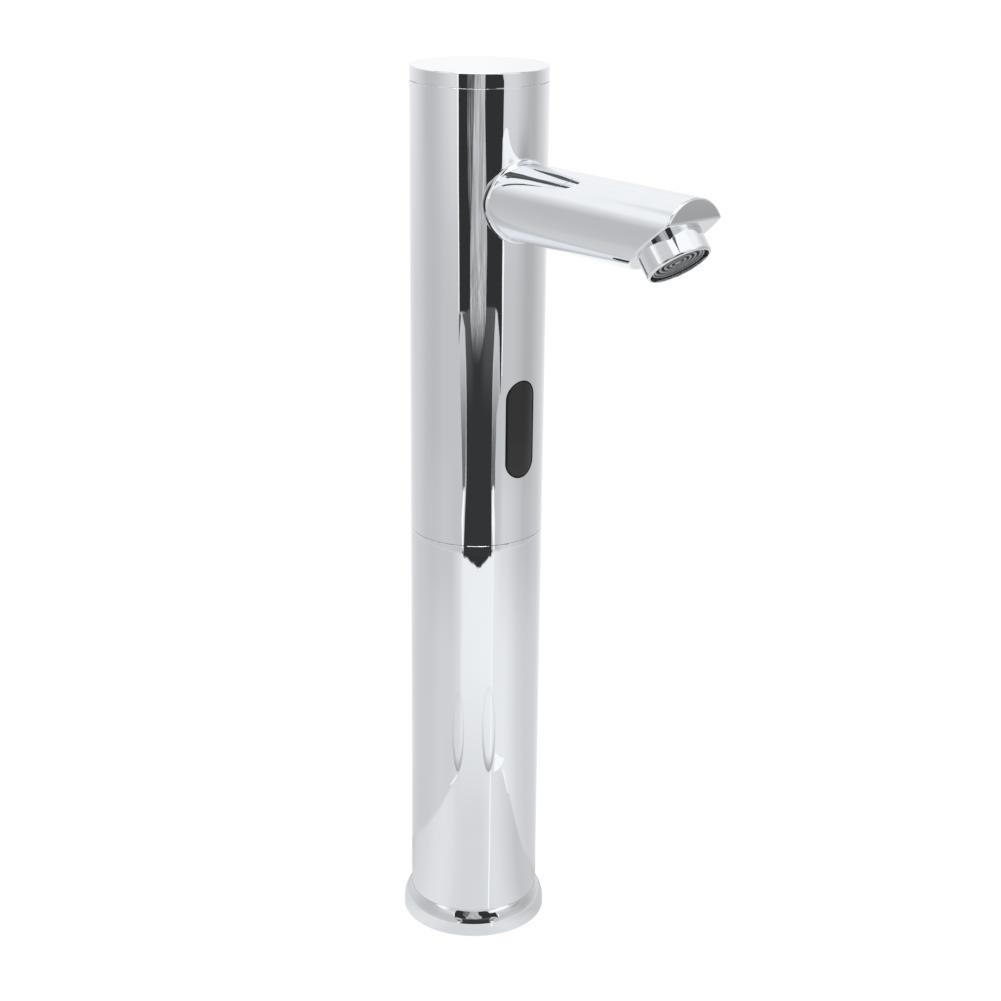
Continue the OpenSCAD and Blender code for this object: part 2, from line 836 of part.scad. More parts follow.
// A round-nosed diode that stands on the board and looks out through the window
module diode(side) {
    translate([0, -housing_back - board_off - board_wall, window_z + side * led_off]) to_front() {
        rotate_extrude() polygon(concat(
            [[0, 0], [led_r, 0]],
            quarter_arc(0, led_l - led_r, led_r, led_r)
        ));
    }
}

module infrared_emitter() {
    color("slateblue") diode(1);
}

module infrared_receiver() {
    color("black") diode(-1);
}

module housing_cover() {
    color("dimgray") difference() {
        housing_slab(housing_half_w, housing_half_h, housing_back - cover_wall, housing_back);
        cover_screw_holes(housing_back - cover_wall - overrun, housing_back + overrun);
    }
}

module cover_screws() {
    color("gray") for (side = [-1, 1]) {
        translate([0, -housing_back + cover_wall, window_z + side * (housing_half_h - housing_block_h / 2)])
            to_front() difference() {
                union() {
                    translate([0, 0, -cover_head_h]) cylinder(r = cover_head_r, h = cover_head_h);
                    cylinder(r = cover_screw_r - slip_fit, h = cover_wall + cover_screw_l - loose_fit);
                }
                translate([0, 0, -cover_head_h - overrun])
                    cylinder(r = cover_screw_r / 2, h = overrun + cover_head_h / 2, $fn = 6);
            }
    }
}

module sensor_bracket() {
    front = housing_back - cover_wall;
    color("dimgray") translate([0, 0, window_z - bracket_h / 2]) intersection() {
        union() {
            ring(body_ir - loose_fit, body_ir - loose_fit - bracket_wall, bracket_h);
            translate([-body_ir + bracket_wall, -front, 0])
                cube([2 * body_ir - 2 * bracket_wall, bracket_bar, bracket_h]);
        }
        translate([-body_r, -front, 0]) cube([body_d, body_d, bracket_h]);
    }
}

// Leads

module battery_lead() {
    color("red") translate([lead_x, -lead_front, case_top])
        cylinder(r = lead_r, h = window_z - housing_half_h - case_top);
}

module solenoid_lead() {
    color("red") translate([lead_x, -lead_front, window_z + housing_half_h])
        cylinder(r = lead_r, h = coil_z - window_z - housing_half_h);
}

// Solenoid valve

module bonnet_screw_places() {
    for (i = [0 : bonnet_screw_count - 1]) {
        rotate([0, 0, 45 + 360 * i / bonnet_screw_count]) translate([bonnet_screw_ring, 0, 0]) children();
    }
}

module valve_block() {
    color("goldenrod") difference() {
        translate([0, 0, block_z]) cylinder(r = block_r, h = block_h);
        at_valve(block_z - overrun) ring(valve_chamber_r, valve_seat_r, chamber_depth + overrun);
        at_valve(block_z - overrun) cylinder(r = elbow_bore_r, h = block_h + 2 * overrun);
        at_valve(block_top - elbow_spigot_l) cylinder(r = elbow_spigot_r + slip_fit, h = block_h);
        at_riser(block_z - overrun) cylinder(r = pipe_socket_r, h = socket_depth + overrun);
        at_riser(block_z) cylinder(r = pipe_ir, h = chamber_depth + cross_bore_r);
        at_riser(block_z + (socket_depth - oring_groove_h) / 2)
            cylinder(r = oring_groove_r, h = oring_groove_h);
        translate([0, riser_back, cross_bore_z])
            to_front() cylinder(r = cross_bore_r, h = riser_back + valve_front - valve_seat_r - overrun);
        at_valve(block_z - overrun) bonnet_screw_places()
            cylinder(r = bonnet_screw_r, h = bonnet_screw_bite + overrun);
    }
}

module block_circlip() {
    color("gray") translate([0, 0, block_top]) rotate([0, 0, circlip_gap_angle / 2 - 90])
        rotate_extrude(angle = 360 - circlip_gap_angle)
            translate([body_ir + circlip_bite - circlip_w, 0]) square([circlip_w, circlip_h]);
}

module diaphragm() {
    color("black") at_valve(block_z - diaphragm_h) difference() {
        cylinder(r = diaphragm_r, h = diaphragm_h);
        translate([0, 0, -overrun]) cylinder(r = pilot_r, h = diaphragm_h + 2 * overrun);
        translate([(valve_seat_r + valve_chamber_r) / 2, 0, -overrun])
            cylinder(r = bleed_r, h = diaphragm_h + 2 * overrun);
    }
}

module valve_bonnet() {
    color("dimgray") at_valve(bonnet_z) difference() {
        cylinder(r = bonnet_r, h = bonnet_h);
        translate([0, 0, bonnet_h - cavity_depth]) cylinder(r = cavity_r, h = bonnet_h);
        translate([0, 0, -overrun]) cylinder(r = core_r + slip_fit, h = bonnet_h);
        bonnet_screw_places() {
            translate([0, 0, -overrun]) cylinder(r = bonnet_screw_r, h = bonnet_h + 2 * overrun);
            translate([0, 0, -overrun]) cylinder(r = bonnet_head_r, h = bonnet_head_h + overrun);
        }
    }
}

module bonnet_screws() {
    color("gray") at_valve(bonnet_z) bonnet_screw_places() difference() {
        union() {
            cylinder(r = bonnet_screw_r - slip_fit, h = bonnet_h + bonnet_screw_bite - loose_fit);
            cylinder(r = bonnet_head_r - slip_fit, h = bonnet_head_h);
        }
        translate([0, 0, -overrun])
            cylinder(r = bonnet_screw_r / 2, h = overrun + bonnet_head_h / 2, $fn = 6);
    }
}

module core_tube() {
    color("silver") at_valve(core_z) difference() {
        cylinder(r = core_r, h = block_z - cavity_depth - core_z);
        translate([0, 0, core_plug]) cylinder(r = core_ir, h = block_z);
    }
}

module plunger() {
    color("gray") at_valve(plunger_z) difference() {
        cylinder(r = plunger_r, h = plunger_l);
        for (side = [-1, 1]) {
            translate([side * plunger_r, 0, -overrun])
                cylinder(r = plunger_groove_r, h = plunger_l + 2 * overrun);
        }
    }
}

module plunger_spring() {
    color("silver") at_valve(plunger_spring_z)
        wire_coil(plunger_spring_r, spring_wire_r, plunger_spring_l, plunger_spring_turns);
}

module coil_bobbin() {
    color("dimgray") at_valve(coil_z) difference() {
        union() {
            cylinder(r = core_r + slip_fit + bobbin_wall, h = coil_h);
            cylinder(r = bobbin_r, h = bobbin_wall);
            translate([0, 0, coil_h - bobbin_wall]) cylinder(r = bobbin_r, h = bobbin_wall);
        }
        translate([0, 0, -overrun]) cylinder(r = core_r + slip_fit, h = coil_h + 2 * overrun);
    }
}

module coil_winding() {
    color("chocolate") at_valve(coil_z + bobbin_wall)
        ring(coil_r, core_r + slip_fit + bobbin_wall, coil_h - 2 * bobbin_wall);
}

module coil_yoke() {
    reach = yoke_r + strap_wall;
    color("gray") difference() {
        intersection() {
            union() {
                for (z = [yoke_z, bonnet_z - plate_wall]) {
                    at_valve(z) cylinder(r = yoke_r, h = plate_wall);
                    at_valve(z) translate([-strap_w / 2, -reach, 0]) cube([strap_w, reach, plate_wall]);
                }
                at_valve(yoke_z) translate([-strap_w / 2, -reach, 0])
                    cube([strap_w, strap_wall, bonnet_z - yoke_z]);
            }
            cylinder(r = body_ir - loose_fit, h = top_seam_h);
        }
        at_valve(yoke_z - overrun) cylinder(r = core_r + slip_fit, h = bonnet_z - yoke_z + 2 * overrun);
        translate([lead_x, -lead_front, yoke_z - overrun])
            cylinder(r = lead_r + slip_fit, h = plate_wall + 2 * overrun);
    }
}

module outlet_elbow() {
    color("goldenrod") difference() {
        union() {
            at_valve(block_top) cylinder(r = elbow_r, h = way_h + elbow_head - block_top);
            at_valve(block_top - elbow_spigot_l) cylinder(r = elbow_spigot_r, h = 2 * elbow_spigot_l);
            at_valve(way_h) to_front() cylinder(r = elbow_boss_r, h = elbow_front - valve_front);
        }
        at_valve(block_top - elbow_spigot_l - overrun)
            cylinder(r = elbow_bore_r, h = way_h - block_top + elbow_spigot_l + overrun);
        at_valve(way_h) to_front() cylinder(r = elbow_bore_r, h = elbow_front);
        translate([0, -way_start, way_h]) to_front() cylinder(r = pipe_socket_r, h = elbow_front);
        at_valve(block_top - (elbow_spigot_l + oring_groove_h) / 2)
            ring(elbow_r, elbow_spigot_r - 2 * oring_wire_r, oring_groove_h);
        translate([0, -(way_start + elbow_front - oring_groove_h) / 2, way_h])
            to_front() cylinder(r = oring_groove_r, h = oring_groove_h);
    }
}

module elbow_orings() {
    color("black") {
        at_valve(block_top - elbow_spigot_l / 2) torus(elbow_spigot_r - oring_wire_r, oring_wire_r);
        translate([0, -(way_start + elbow_front) / 2, way_h])
            to_front() torus(pipe_socket_r + oring_wire_r, oring_wire_r);
    }
}

// The bent pipe of the spout, solid, with the given radius along its straight lengths
module way_bar(r, past) {
    translate([0, past - way_start, way_h]) to_front()
        cylinder(r = r, h = way_bend_front - way_start + past + way_lap);
    translate([0, -way_bend_front, way_h - way_bend_r]) rotate([180, -90, 0])
        rotate_extrude(angle = way_turn) translate([way_bend_r, 0]) circle(r = r - way_neck);
    at_outlet() translate([0, 0, way_bend_z - way_lap])
        cylinder(r = r, h = way_end_z - way_bend_z + way_lap + past);
}

module spout_waterway() {
    color("peru") difference() {
        union() way_bar(pipe_r, 0);
        way_bar(pipe_ir, overrun);
    }
}

// Battery case

module battery_cradle() {
    color("dimgray") difference() {
        union() {
            translate([0, 0, cradle_z]) cylinder(r = cradle_r, h = cradle_wall);
            for (a = cradle_leg_angles) {
                rotate([0, 0, a]) translate([cradle_leg_ring, 0, insert_h])
                    cylinder(r = cradle_leg_r, h = cradle_z + cradle_wall / 2 - insert_h);
            }
        }
        at_riser(cradle_z - overrun) cylinder(r = pipe_r + loose_fit, h = cradle_wall + 2 * overrun);
    }
}

// A block on the case's centre line, from one distance in front of the axis to another
module case_slab(wide, from, to, z, high) {
    translate([-wide / 2, -to, z]) cube([wide, to - from, high]);
}

// The same block with its corners cut back to a circle round the column's axis
module round_slab(r, wide, from, to, z, high) {
    intersection() {
        case_slab(wide, from, to, z, high);
        translate([0, 0, z]) cylinder(r = r, h = high);
    }
}

module battery_case() {
    color("dimgray") difference() {
        round_slab(case_r, case_w, case_back, case_front, case_z, case_h);
        round_slab(case_inner_r, case_inner_w, case_back + case_wall, case_front + overrun,
                   case_z + case_wall, case_inner_h);
    }
}

module battery_lid() {
    color("dimgray") round_slab(case_r, case_w, case_front, case_front + case_wall, case_z, case_h);
}

module battery_cells() {
    first = case_z + case_wall + contact_h;
    color("seagreen") for (side = [-1, 1], k = [0 : cell_layer_count - 1]) {
        translate([side * (cell_d + cell_gap) / 2, -case_centre_front, first + k * cell_pitch]) {
            bottom = side < 0 ? 0 : cell_nub_h;
            translate([0, 0, bottom]) cylinder(d = cell_d, h = cell_l - cell_nub_h);
            translate([0, 0, side < 0 ? cell_l - 2 * cell_nub_h : 0])
                cylinder(r = cell_nub_r, h = 2 * cell_nub_h);
        }
    }
}

module battery_contacts() {
    plate_w = cell_d - contact_w / 2;
    color("silver") {
        case_slab(cell_d + plate_w, case_centre_front - contact_w / 2, case_centre_front + contact_w / 2,
                  case_z + case_wall, contact_h);
        for (side = [-1, 1]) {
            translate([side * (cell_d + cell_gap) / 2, 0, 0])
                case_slab(plate_w, case_centre_front - contact_w / 2, case_centre_front + contact_w / 2,
                          case_z + case_wall + case_inner_h - contact_h, contact_h);
        }
    }
}

echo(check_spring_gap = coil_gap(coil_rings(poppet_spring_r, spring_wire_r, poppet_spring_l,
                                            poppet_spring_turns)));
echo(plunger_spring_gap = coil_gap(coil_rings(plunger_spring_r, spring_wire_r, plunger_spring_l,
                                              plunger_spring_turns)));

base_flange();
base_gasket();
base_insert();
base_screws();
inlet_filter();
check_poppet();
check_spring();
check_spider();
riser_pipe();
riser_orings();
lower_body();
coupling_ring();
coupling_orings();
grub_screw();
upper_body();
battery_cradle();
battery_case();
battery_cells();
battery_contacts();
battery_lid();
battery_lead();
sensor_window();
window_gasket();
sensor_housing();
sensor_board();
infrared_emitter();
infrared_receiver();
housing_cover();
cover_screws();
sensor_bracket();
valve_block();
block_circlip();
diaphragm();
valve_bonnet();
bonnet_screws();
core_tube();
plunger();
plunger_spring();
coil_bobbin();
coil_winding();
coil_yoke();
solenoid_lead();
outlet_elbow();
elbow_orings();
spout_waterway();
spout();
outlet_collar();
aerator_shell();
aerator_grid();
aerator_screen();
flow_regulator();
aerator_seal();
top_cap();
cap_oring();
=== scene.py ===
import json
from math import acos, asin, atan2, cos, degrees, hypot, pi, radians, sin, sqrt

import bmesh
import bpy
from bmesh.types import BMEdge, BMVert
from mathutils import Matrix, Vector


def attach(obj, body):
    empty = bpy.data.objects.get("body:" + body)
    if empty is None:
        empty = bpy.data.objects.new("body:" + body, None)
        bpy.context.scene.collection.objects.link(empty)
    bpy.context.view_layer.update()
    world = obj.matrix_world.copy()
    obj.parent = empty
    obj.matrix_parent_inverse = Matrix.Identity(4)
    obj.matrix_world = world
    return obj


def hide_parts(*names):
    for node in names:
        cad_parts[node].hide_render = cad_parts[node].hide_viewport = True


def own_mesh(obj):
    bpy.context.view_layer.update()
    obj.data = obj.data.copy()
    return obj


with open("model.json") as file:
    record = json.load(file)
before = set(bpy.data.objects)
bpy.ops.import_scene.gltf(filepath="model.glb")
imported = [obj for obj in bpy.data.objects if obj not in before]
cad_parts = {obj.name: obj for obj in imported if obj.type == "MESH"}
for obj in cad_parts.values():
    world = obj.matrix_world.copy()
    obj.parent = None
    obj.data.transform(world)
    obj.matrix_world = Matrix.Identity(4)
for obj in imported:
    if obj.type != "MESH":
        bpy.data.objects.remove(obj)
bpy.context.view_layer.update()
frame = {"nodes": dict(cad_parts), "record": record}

# Lengths below are in millimetres, and this is one in metres
mm = 0.001

# Column, from the deck up
body_r = 25.0
bore_r = 22.5
body_foot = 3.0
mid_seam = 164.4
top_seam = 332.2
top = 337.5
slip = 0.03

# Seams between the polished pieces
seam_edge = 0.1
seam_gap = 0.06
seam_depth = 1.0

# Base flange
flange_r = 28.1
flange_h = 10.3
flange_hole_r = 19.2
skirt_h = 2.2
skirt_edge = 0.3
gasket_recess_r = 26.2
gasket_recess_h = 1.5

# Top cap, with the plug that goes into the tube
cap_edge = 0.5
plug_r = 22.42
plug_bore_r = 19.92
plug_foot = 325.2
plug_groove_r = 21.22
plug_groove = (327.2, 328.8)

# Inside the upper body
ledge_r = 20.6
ledge = (252.5, 256.5)
circlip_groove_r = 23.25
circlip_groove = (274.5, 275.7)
grub_z = 174.8
grub_hole_r = 2.0

# Spout and its cut end
spout_z = 292.2
spout_r = 13.9
spout_end = 108.0
chord_rise = 6.0
lean = radians(39.5)
foot = Vector((0, -96.734, 288.913))
outlet_axis = Vector((0, -sin(lean), -cos(lean)))
end_wall = 2.0
collar_r, proud, mouth_r = 11.6, 8.2, 10.5

# Sensor window
window_z = 208.0
window_w = 13.5
window_h = 37.3
window_gap = 0.5

# Edges that turn more sharply than this stay sharp in the shading
crease = radians(32)


# ---- Materials


class Wire:
    """A node's output that Python's signs turn into Math nodes."""

    def __init__(self, finish, socket):
        self.finish, self.socket = finish, socket

    def math(self, operation, *values):
        return self.finish.node("ShaderNodeMath", {"operation": operation}, dict(enumerate(values)))

    def __add__(self, other):
        return self.math("ADD", self, other)

    def __sub__(self, other):
        return self.math("SUBTRACT", self, other)

    def __mul__(self, other):
        return self.math("MULTIPLY", self, other)

    def __truediv__(self, other):
        return self.math("DIVIDE", self, other)

    def __rsub__(self, other):
        return self.math("SUBTRACT", other, self)

    __radd__ = __add__
    __rmul__ = __mul__


class Finish:
    """The node tree of one material."""

    def __init__(self, name, **uniform):
        self.material = bpy.data.materials.new(name)
        self.material.use_nodes = True
        self.tree = self.material.node_tree
        self.shader = self.tree.nodes["Principled BSDF"]
        for socket, value in uniform.items():
            self.shader.inputs[socket.replace("_", " ")].default_value = value

    def node(self, kind, settings=None, inputs=None, out=0):
        made = self.tree.nodes.new(kind)
        for key, value in (settings or {}).items():
            if key == "stops":
                self.ramp(made.color_ramp, value)
            else:
                setattr(made, key, value)
        for key, value in (inputs or {}).items():
            if isinstance(value, Wire):
                self.tree.links.new(value.socket, made.inputs[key])
            else:
                made.inputs[key].default_value = value
        return Wire(self, made.outputs[out])

    def ramp(self, ramp, stops):
        while len(ramp.elements) < len(stops):
            ramp.elements.new(1)
        for element, (place, level) in zip(ramp.elements, stops):
            element.position = place
            element.color = (level, level, level, 1)

    def place(self):
        return self.node("ShaderNodeTexCoord", out="Object")

    def noise(self, scale, detail, stretch=(1, 1, 1)):
        """Noise of the given features a metre, with its mean at a half."""
        spot = self.node("ShaderNodeMapping", {}, {"Vector": self.place(), "Scale": stretch})
        return self.node("ShaderNodeTexNoise", {}, {"Vector": spot, "Scale": scale, "Detail": detail})

    def mix(self, factor, a, b):
        return self.node("ShaderNodeMix", {"data_type": "RGBA"}, {0: factor, 6: a, 7: b}, out=2)

    def bump(self, height, distance, normal=None):
        inputs = {"Height": height, "Distance": distance, "Strength": 1}
        if normal:
            inputs["Normal"] = normal
        return self.node("ShaderNodeBump", {}, inputs)

    def feed(self, **links):
        for socket, wire in links.items():
            self.tree.links.new(wire.socket, self.shader.inputs[socket.replace("_", " ")])
        return self.material


def rgb(r, g, b):
    return (r, g, b, 1)


def chrome_plate():
    f = Finish("polished_chrome", Metallic=1)
    buffing = f.noise(26, 1)
    haze = f.noise(140, 3, (1, 1, 0.25))
    colour = f.mix(haze, rgb(0.862, 0.885, 0.918), rgb(0.892, 0.912, 0.938))
    waves = f.bump(buffing, 0.00012)
    return f.feed(
        Base_Color=colour,
        Roughness=0.008 + haze * 0.014,
        Normal=f.bump(f.noise(2500, 2), 0.0000006, normal=waves),
    )


def turned_metal(name, colour, dull, rough):
    """Bare metal with the fine rings that turning or drawing leaves."""
    f = Finish(name, Metallic=1)
    rings = f.noise(160, 3, (1, 1, 14))
    stain = f.noise(45, 4)
    return f.feed(
        Base_Color=f.mix(stain, rgb(*colour), rgb(*dull)),
        Roughness=rough + rings * 0.14,
        Normal=f.bump(rings, 0.00003),
    )


def rubber(name, colour, rough):
    f = Finish(name, Specular_IOR_Level=0.15)
    grain = f.noise(1800, 3)
    dust = f.noise(60, 3)
    return f.feed(
        Base_Color=f.mix(dust, rgb(*colour), rgb(*[c * 1.6 + 0.004 for c in colour])),
        Roughness=rough + grain * 0.12,
        Normal=f.bump(grain, 0.00002),
    )


def moulded(name, colour, rough, coat=0.0):
    """Moulded plastic with a fine grain and slight flow marks."""
    f = Finish(name, Coat_Weight=coat, Coat_Roughness=0.05)
    grain = f.noise(1400, 2)
    flow = f.noise(35, 2, (1, 1, 0.3))
    return f.feed(
        Base_Color=f.mix(flow, rgb(*colour), rgb(*[c * 0.86 for c in colour])),
        Roughness=rough + grain * 0.08,
        Normal=f.bump(grain, 0.00002),
    )


def glossy_window():
    f = Finish("black_window", IOR=1.5)
    smear = f.noise(70, 3, (1, 1, 0.4))
    return f.feed(
        Base_Color=f.mix(smear, rgb(0.006, 0.006, 0.0065), rgb(0.010, 0.010, 0.011)),
        Roughness=0.05 + smear * 0.06,
        Normal=f.bump(f.noise(40, 1), 0.00001),
    )


def winding_wire():
    """Enamelled wire laid in even turns."""
    f = Finish("copper_wire", Metallic=0.6, Coat_Weight=0.6, Coat_Roughness=0.1)
    z = f.node("ShaderNodeSeparateXYZ", {}, {"Vector": f.place()}, out=2)
    turns = f.node("ShaderNodeMath", {"operation": "SINE"}, {0: z * (2 * pi / 0.00035)})
    tone = f.noise(90, 2)
    return f.feed(
        Base_Color=f.mix(tone, rgb(0.62, 0.24, 0.10), rgb(0.74, 0.34, 0.15)),
        Roughness=0.3 + tone * 0.1,
        Normal=f.bump(turns, 0.00006),
    )


def lacquered_board():
    f = Finish("green_board", Coat_Weight=0.8, Coat_Roughness=0.08)
    weave = f.node("ShaderNodeTexChecker", {}, {"Vector": f.place(), "Scale": 900}, out=1)
    tone = f.noise(120, 3)
    return f.feed(
        Base_Color=f.mix(tone, rgb(0.03, 0.20, 0.08), rgb(0.05, 0.30, 0.12)),
        Roughness=0.35 + tone * 0.1,
        Normal=f.bump(weave, 0.00001),
    )


materials = {
    "polished_chrome": chrome_plate(),
    "cast_brass": turned_metal("cast_brass", (0.78, 0.60, 0.31), (0.66, 0.48, 0.22), 0.24),
    "copper_tube": turned_metal("copper_tube", (0.80, 0.45, 0.30), (0.62, 0.33, 0.22), 0.22),
    "copper_wire": winding_wire(),
    "stainless_steel": turned_metal("stainless_steel", (0.66, 0.66, 0.67), (0.55, 0.55, 0.57), 0.26),
    "black_rubber": rubber("black_rubber", (0.009, 0.009, 0.0095), 0.5),
    "black_window": glossy_window(),
    "clear_violet_resin": moulded("clear_violet_resin", (0.25, 0.22, 0.42), 0.08, 0.8),
    "dark_plastic": moulded("dark_plastic", (0.07, 0.07, 0.075), 0.42),
    "white_plastic": moulded("white_plastic", (0.80, 0.80, 0.78), 0.4),
    "grey_plastic": moulded("grey_plastic", (0.13, 0.135, 0.145), 0.2, 0.6),
    "green_board": lacquered_board(),
    "cell_sleeve": moulded("cell_sleeve", (0.10, 0.32, 0.22), 0.22, 0.6),
    "red_wire": moulded("red_wire", (0.50, 0.04, 0.03), 0.3, 0.2),
}
slot_of = {piece["node"]: piece["material_slot"] for piece in frame["record"]["subparts"]}
for name, node in frame["nodes"].items():
    node.data.materials.clear()
    node.data.materials.append(materials[slot_of[name]])


# ---- Mesh tools


def arc(centre_r, centre_z, r, start=0, end=90, steps=5):
    """Points of a round arc in a turned outline."""
    turn = [radians(start + (end - start) * i / steps) for i in range(steps + 1)]
    return [(centre_r + r * cos(a), centre_z + r * sin(a)) for a in turn]


def picked(geom, kind):
    """The vertices or the edges among an operator's results."""
    return [part for part in geom if isinstance(part, kind)]


def turn_outline(bm, outline, steps=128):
    """Spins a closed outline of (radius, height) points once round Z."""
    dots = [bm.verts.new((r, 0, z)) for r, z in outline]
    edges = [bm.edges.new(pair) for pair in zip(dots, dots[1:] + dots[:1])]
    about = {"cent": (0, 0, 0), "axis": (0, 0, 1), "dvec": (0, 0, 0)}
    bmesh.ops.spin(bm, geom=dots + edges, angle=2 * pi, steps=steps, use_merge=True, **about)
    bmesh.ops.remove_doubles(bm, verts=bm.verts[:], dist=0.001)
    bmesh.ops.delete(bm, geom=[e for e in bm.edges if not e.link_faces], context="EDGES")
    bmesh.ops.recalc_face_normals(bm, faces=bm.faces[:])


def in_order(bm):
    """The same mesh with its parts in the order of their places, so that each run goes on the same way."""

    def spot(v):
        return tuple(round(c, 4) for c in v.co)

    rank = {place: i for i, place in enumerate(sorted(spot(v) for v in bm.verts))}
    bm.verts.sort(key=lambda v: rank[spot(v)])
    bm.verts.index_update()
    fresh = bmesh.new()
    dots = [fresh.verts.new(v.co) for v in bm.verts]
    loops = []
    for face in bm.faces:
        row = [v.index for v in face.verts]
        first = row.index(min(row))
        loops.append(row[first:] + row[:first])
    for row in sorted(loops):
        fresh.faces.new([dots[i] for i in row])
    bm.free()
    return fresh


def bar(bm, r, start, end, steps=64):
    """A closed round bar between two points."""
    way = end - start
    turn = Matrix.Translation((start + end) / 2) @ way.to_track_quat("Z", "Y").to_matrix().to_4x4()
    size = {"radius1": r, "radius2": r, "depth": way.length}
    bmesh.ops.create_cone(bm, cap_ends=True, segments=steps, matrix=turn, **size)


def stadium_face(bm, wide, high):
    """A flat plate with round ends, in the XZ plane."""
    steps = 64
    turn = Matrix.Rotation(radians(90), 4, "X") @ Matrix.Rotation(pi / steps, 4, "Z")
    dots = bmesh.ops.create_circle(bm, cap_ends=True, segments=steps, radius=wide / 2, matrix=turn)["verts"]
    for v in dots:
        v.co.z += (high - wide) / 2 * (1 if v.co.z > 0 else -1)


def thicken(bm, depth):
    """Gives a flat plate its thickness, towards the front."""
    grown = bmesh.ops.extrude_face_region(bm, geom=bm.faces[:])["geom"]
    bmesh.ops.translate(bm, verts=picked(grown, BMVert), vec=(0, -depth, 0))


def strips(bm):
    """Cuts a plate into narrow upright strips, so that it can bend."""
    for i in range(-5, 6):
        whole = bm.verts[:] + bm.edges[:] + bm.faces[:]
        bmesh.ops.bisect_plane(bm, geom=whole, plane_co=(i, 0, 0), plane_no=(1, 0, 0))


def wrap(bm):
    """Bends a flat plate in front of the column round the column's axis."""
    for v in bm.verts:
        depth, turn = -v.co.y, v.co.x / body_r
        v.co.x, v.co.y = depth * sin(turn), -depth * cos(turn)


def mark_edges(bm):
    """Smooth shading all over, except across the piece's crisp edges."""
    for face in bm.faces:
        face.smooth = True
    for edge in bm.edges:
        edge.smooth = len(edge.link_faces) == 2 and edge.calc_face_angle(0) < crease


def add_piece(bm, name, body, slot, place=None):
    """Ends a mesh that is drawn in millimetres, and puts the piece on its body."""
    bmesh.ops.transform(bm, matrix=Matrix.Scale(mm, 4) @ (place or Matrix.Identity(4)), verts=bm.verts[:])
    mark_edges(bm)
    mesh = bpy.data.meshes.new(name)
    bm.to_mesh(mesh)
    bm.free()
    mesh.materials.append(materials[slot])
    piece = bpy.data.objects.new(name, mesh)
    bpy.context.scene.collection.objects.link(piece)
    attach(piece, body)
    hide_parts(name)
    return piece


def even_normals(piece):
    """Lets the large faces set the shading, so that flats stay flat beside small roundings."""
    weigh = piece.modifiers.new("even normals", "WEIGHTED_NORMAL")
    weigh.keep_sharp = True
    weigh.weight = 90


def at_outlet():
    """Where the outlet's axis meets the slanted face, with Z out along the axis."""
    turn = outlet_axis.to_track_quat("Z", "X").to_matrix().to_4x4()
    return Matrix.Translation(foot) @ turn


def turned_piece(name, body, outline, slot, place=None, steps=128):
    """A finished piece that is one outline turned round an axis."""
    bm = bmesh.new()
    turn_outline(bm, outline, steps)
    even_normals(add_piece(bm, name, body, slot, place))


# ---- Column


def seam_lip(z, side):
    """A tube's rim at a seam, from its outer wall in: a small bevel, then a fine shadow gap."""
    face = z + side * seam_gap
    rim = [(body_r, face + side * seam_edge), (body_r - seam_edge, face)]
    return rim + [(body_r - seam_depth, face), (body_r - seam_depth, z)]


def base_flange():
    """A low ring with an upright skirt and a round shoulder that leans in to the column."""
    rise, reach = flange_h - skirt_h, flange_r - body_r - slip
    shoulder_r = (rise**2 + reach**2) / (2 * reach)
    outline = [(gasket_recess_r, 0), (flange_r - skirt_edge, 0)]
    outline += arc(flange_r - skirt_edge, skirt_edge, skirt_edge, -90, 0, 3)
    lean_in = degrees(asin(rise / shoulder_r))
    outline += arc(flange_r - shoulder_r, skirt_h, shoulder_r, 0, lean_in, 20)
    outline += [(body_r + slip, body_foot), (flange_hole_r, body_foot)]
    outline += [(flange_hole_r, gasket_recess_h), (gasket_recess_r, gasket_recess_h)]
    turned_piece("base_flange", "column", outline, "polished_chrome")


base_flange()


def lower_body():
    outline = [(bore_r, body_foot), (body_r - seam_edge, body_foot), (body_r, body_foot + seam_edge)]
    outline += seam_lip(mid_seam, -1) + [(bore_r, mid_seam)]
    turned_piece("lower_body", "column", outline, "polished_chrome")


lower_body()


def top_cap():
    """The flat disc, and below it the hollow plug with the groove of its O-ring."""
    low, high = plug_groove
    outline = [(0, top_seam), (plug_bore_r, top_seam), (plug_bore_r, plug_foot), (plug_r, plug_foot)]
    outline += [(plug_r, low), (plug_groove_r, low), (plug_groove_r, high), (plug_r, high)]
    outline += [(plug_r, top_seam)]
    outline += seam_lip(top_seam, 1)[::-1]
    outline += arc(body_r - cap_edge, top - cap_edge, cap_edge, 0, 90, 6) + [(0, top)]
    turned_piece("top_cap", "cap", outline, "polished_chrome")


top_cap()


def cut_out(piece, cutter):
    """Takes a cutter that is drawn in millimetres out of a piece, and gives back the piece's new mesh."""
    bmesh.ops.recalc_face_normals(cutter, faces=cutter.faces[:])
    bmesh.ops.scale(cutter, vec=(mm, mm, mm), verts=cutter.verts[:])
    tool_mesh = bpy.data.meshes.new("cutter")
    cutter.to_mesh(tool_mesh)
    cutter.free()
    tool = bpy.data.objects.new("cutter", tool_mesh)
    bpy.context.scene.collection.objects.link(tool)
    step = piece.modifiers.new("cut", "BOOLEAN")
    step.operation, step.solver, step.object = "DIFFERENCE", "EXACT", tool
    step.use_self = True
    ready = piece.evaluated_get(bpy.context.evaluated_depsgraph_get())
    mesh = bpy.data.meshes.new_from_object(ready)
    piece.modifiers.clear()
    piece.data = mesh
    bpy.data.objects.remove(tool)
    return mesh


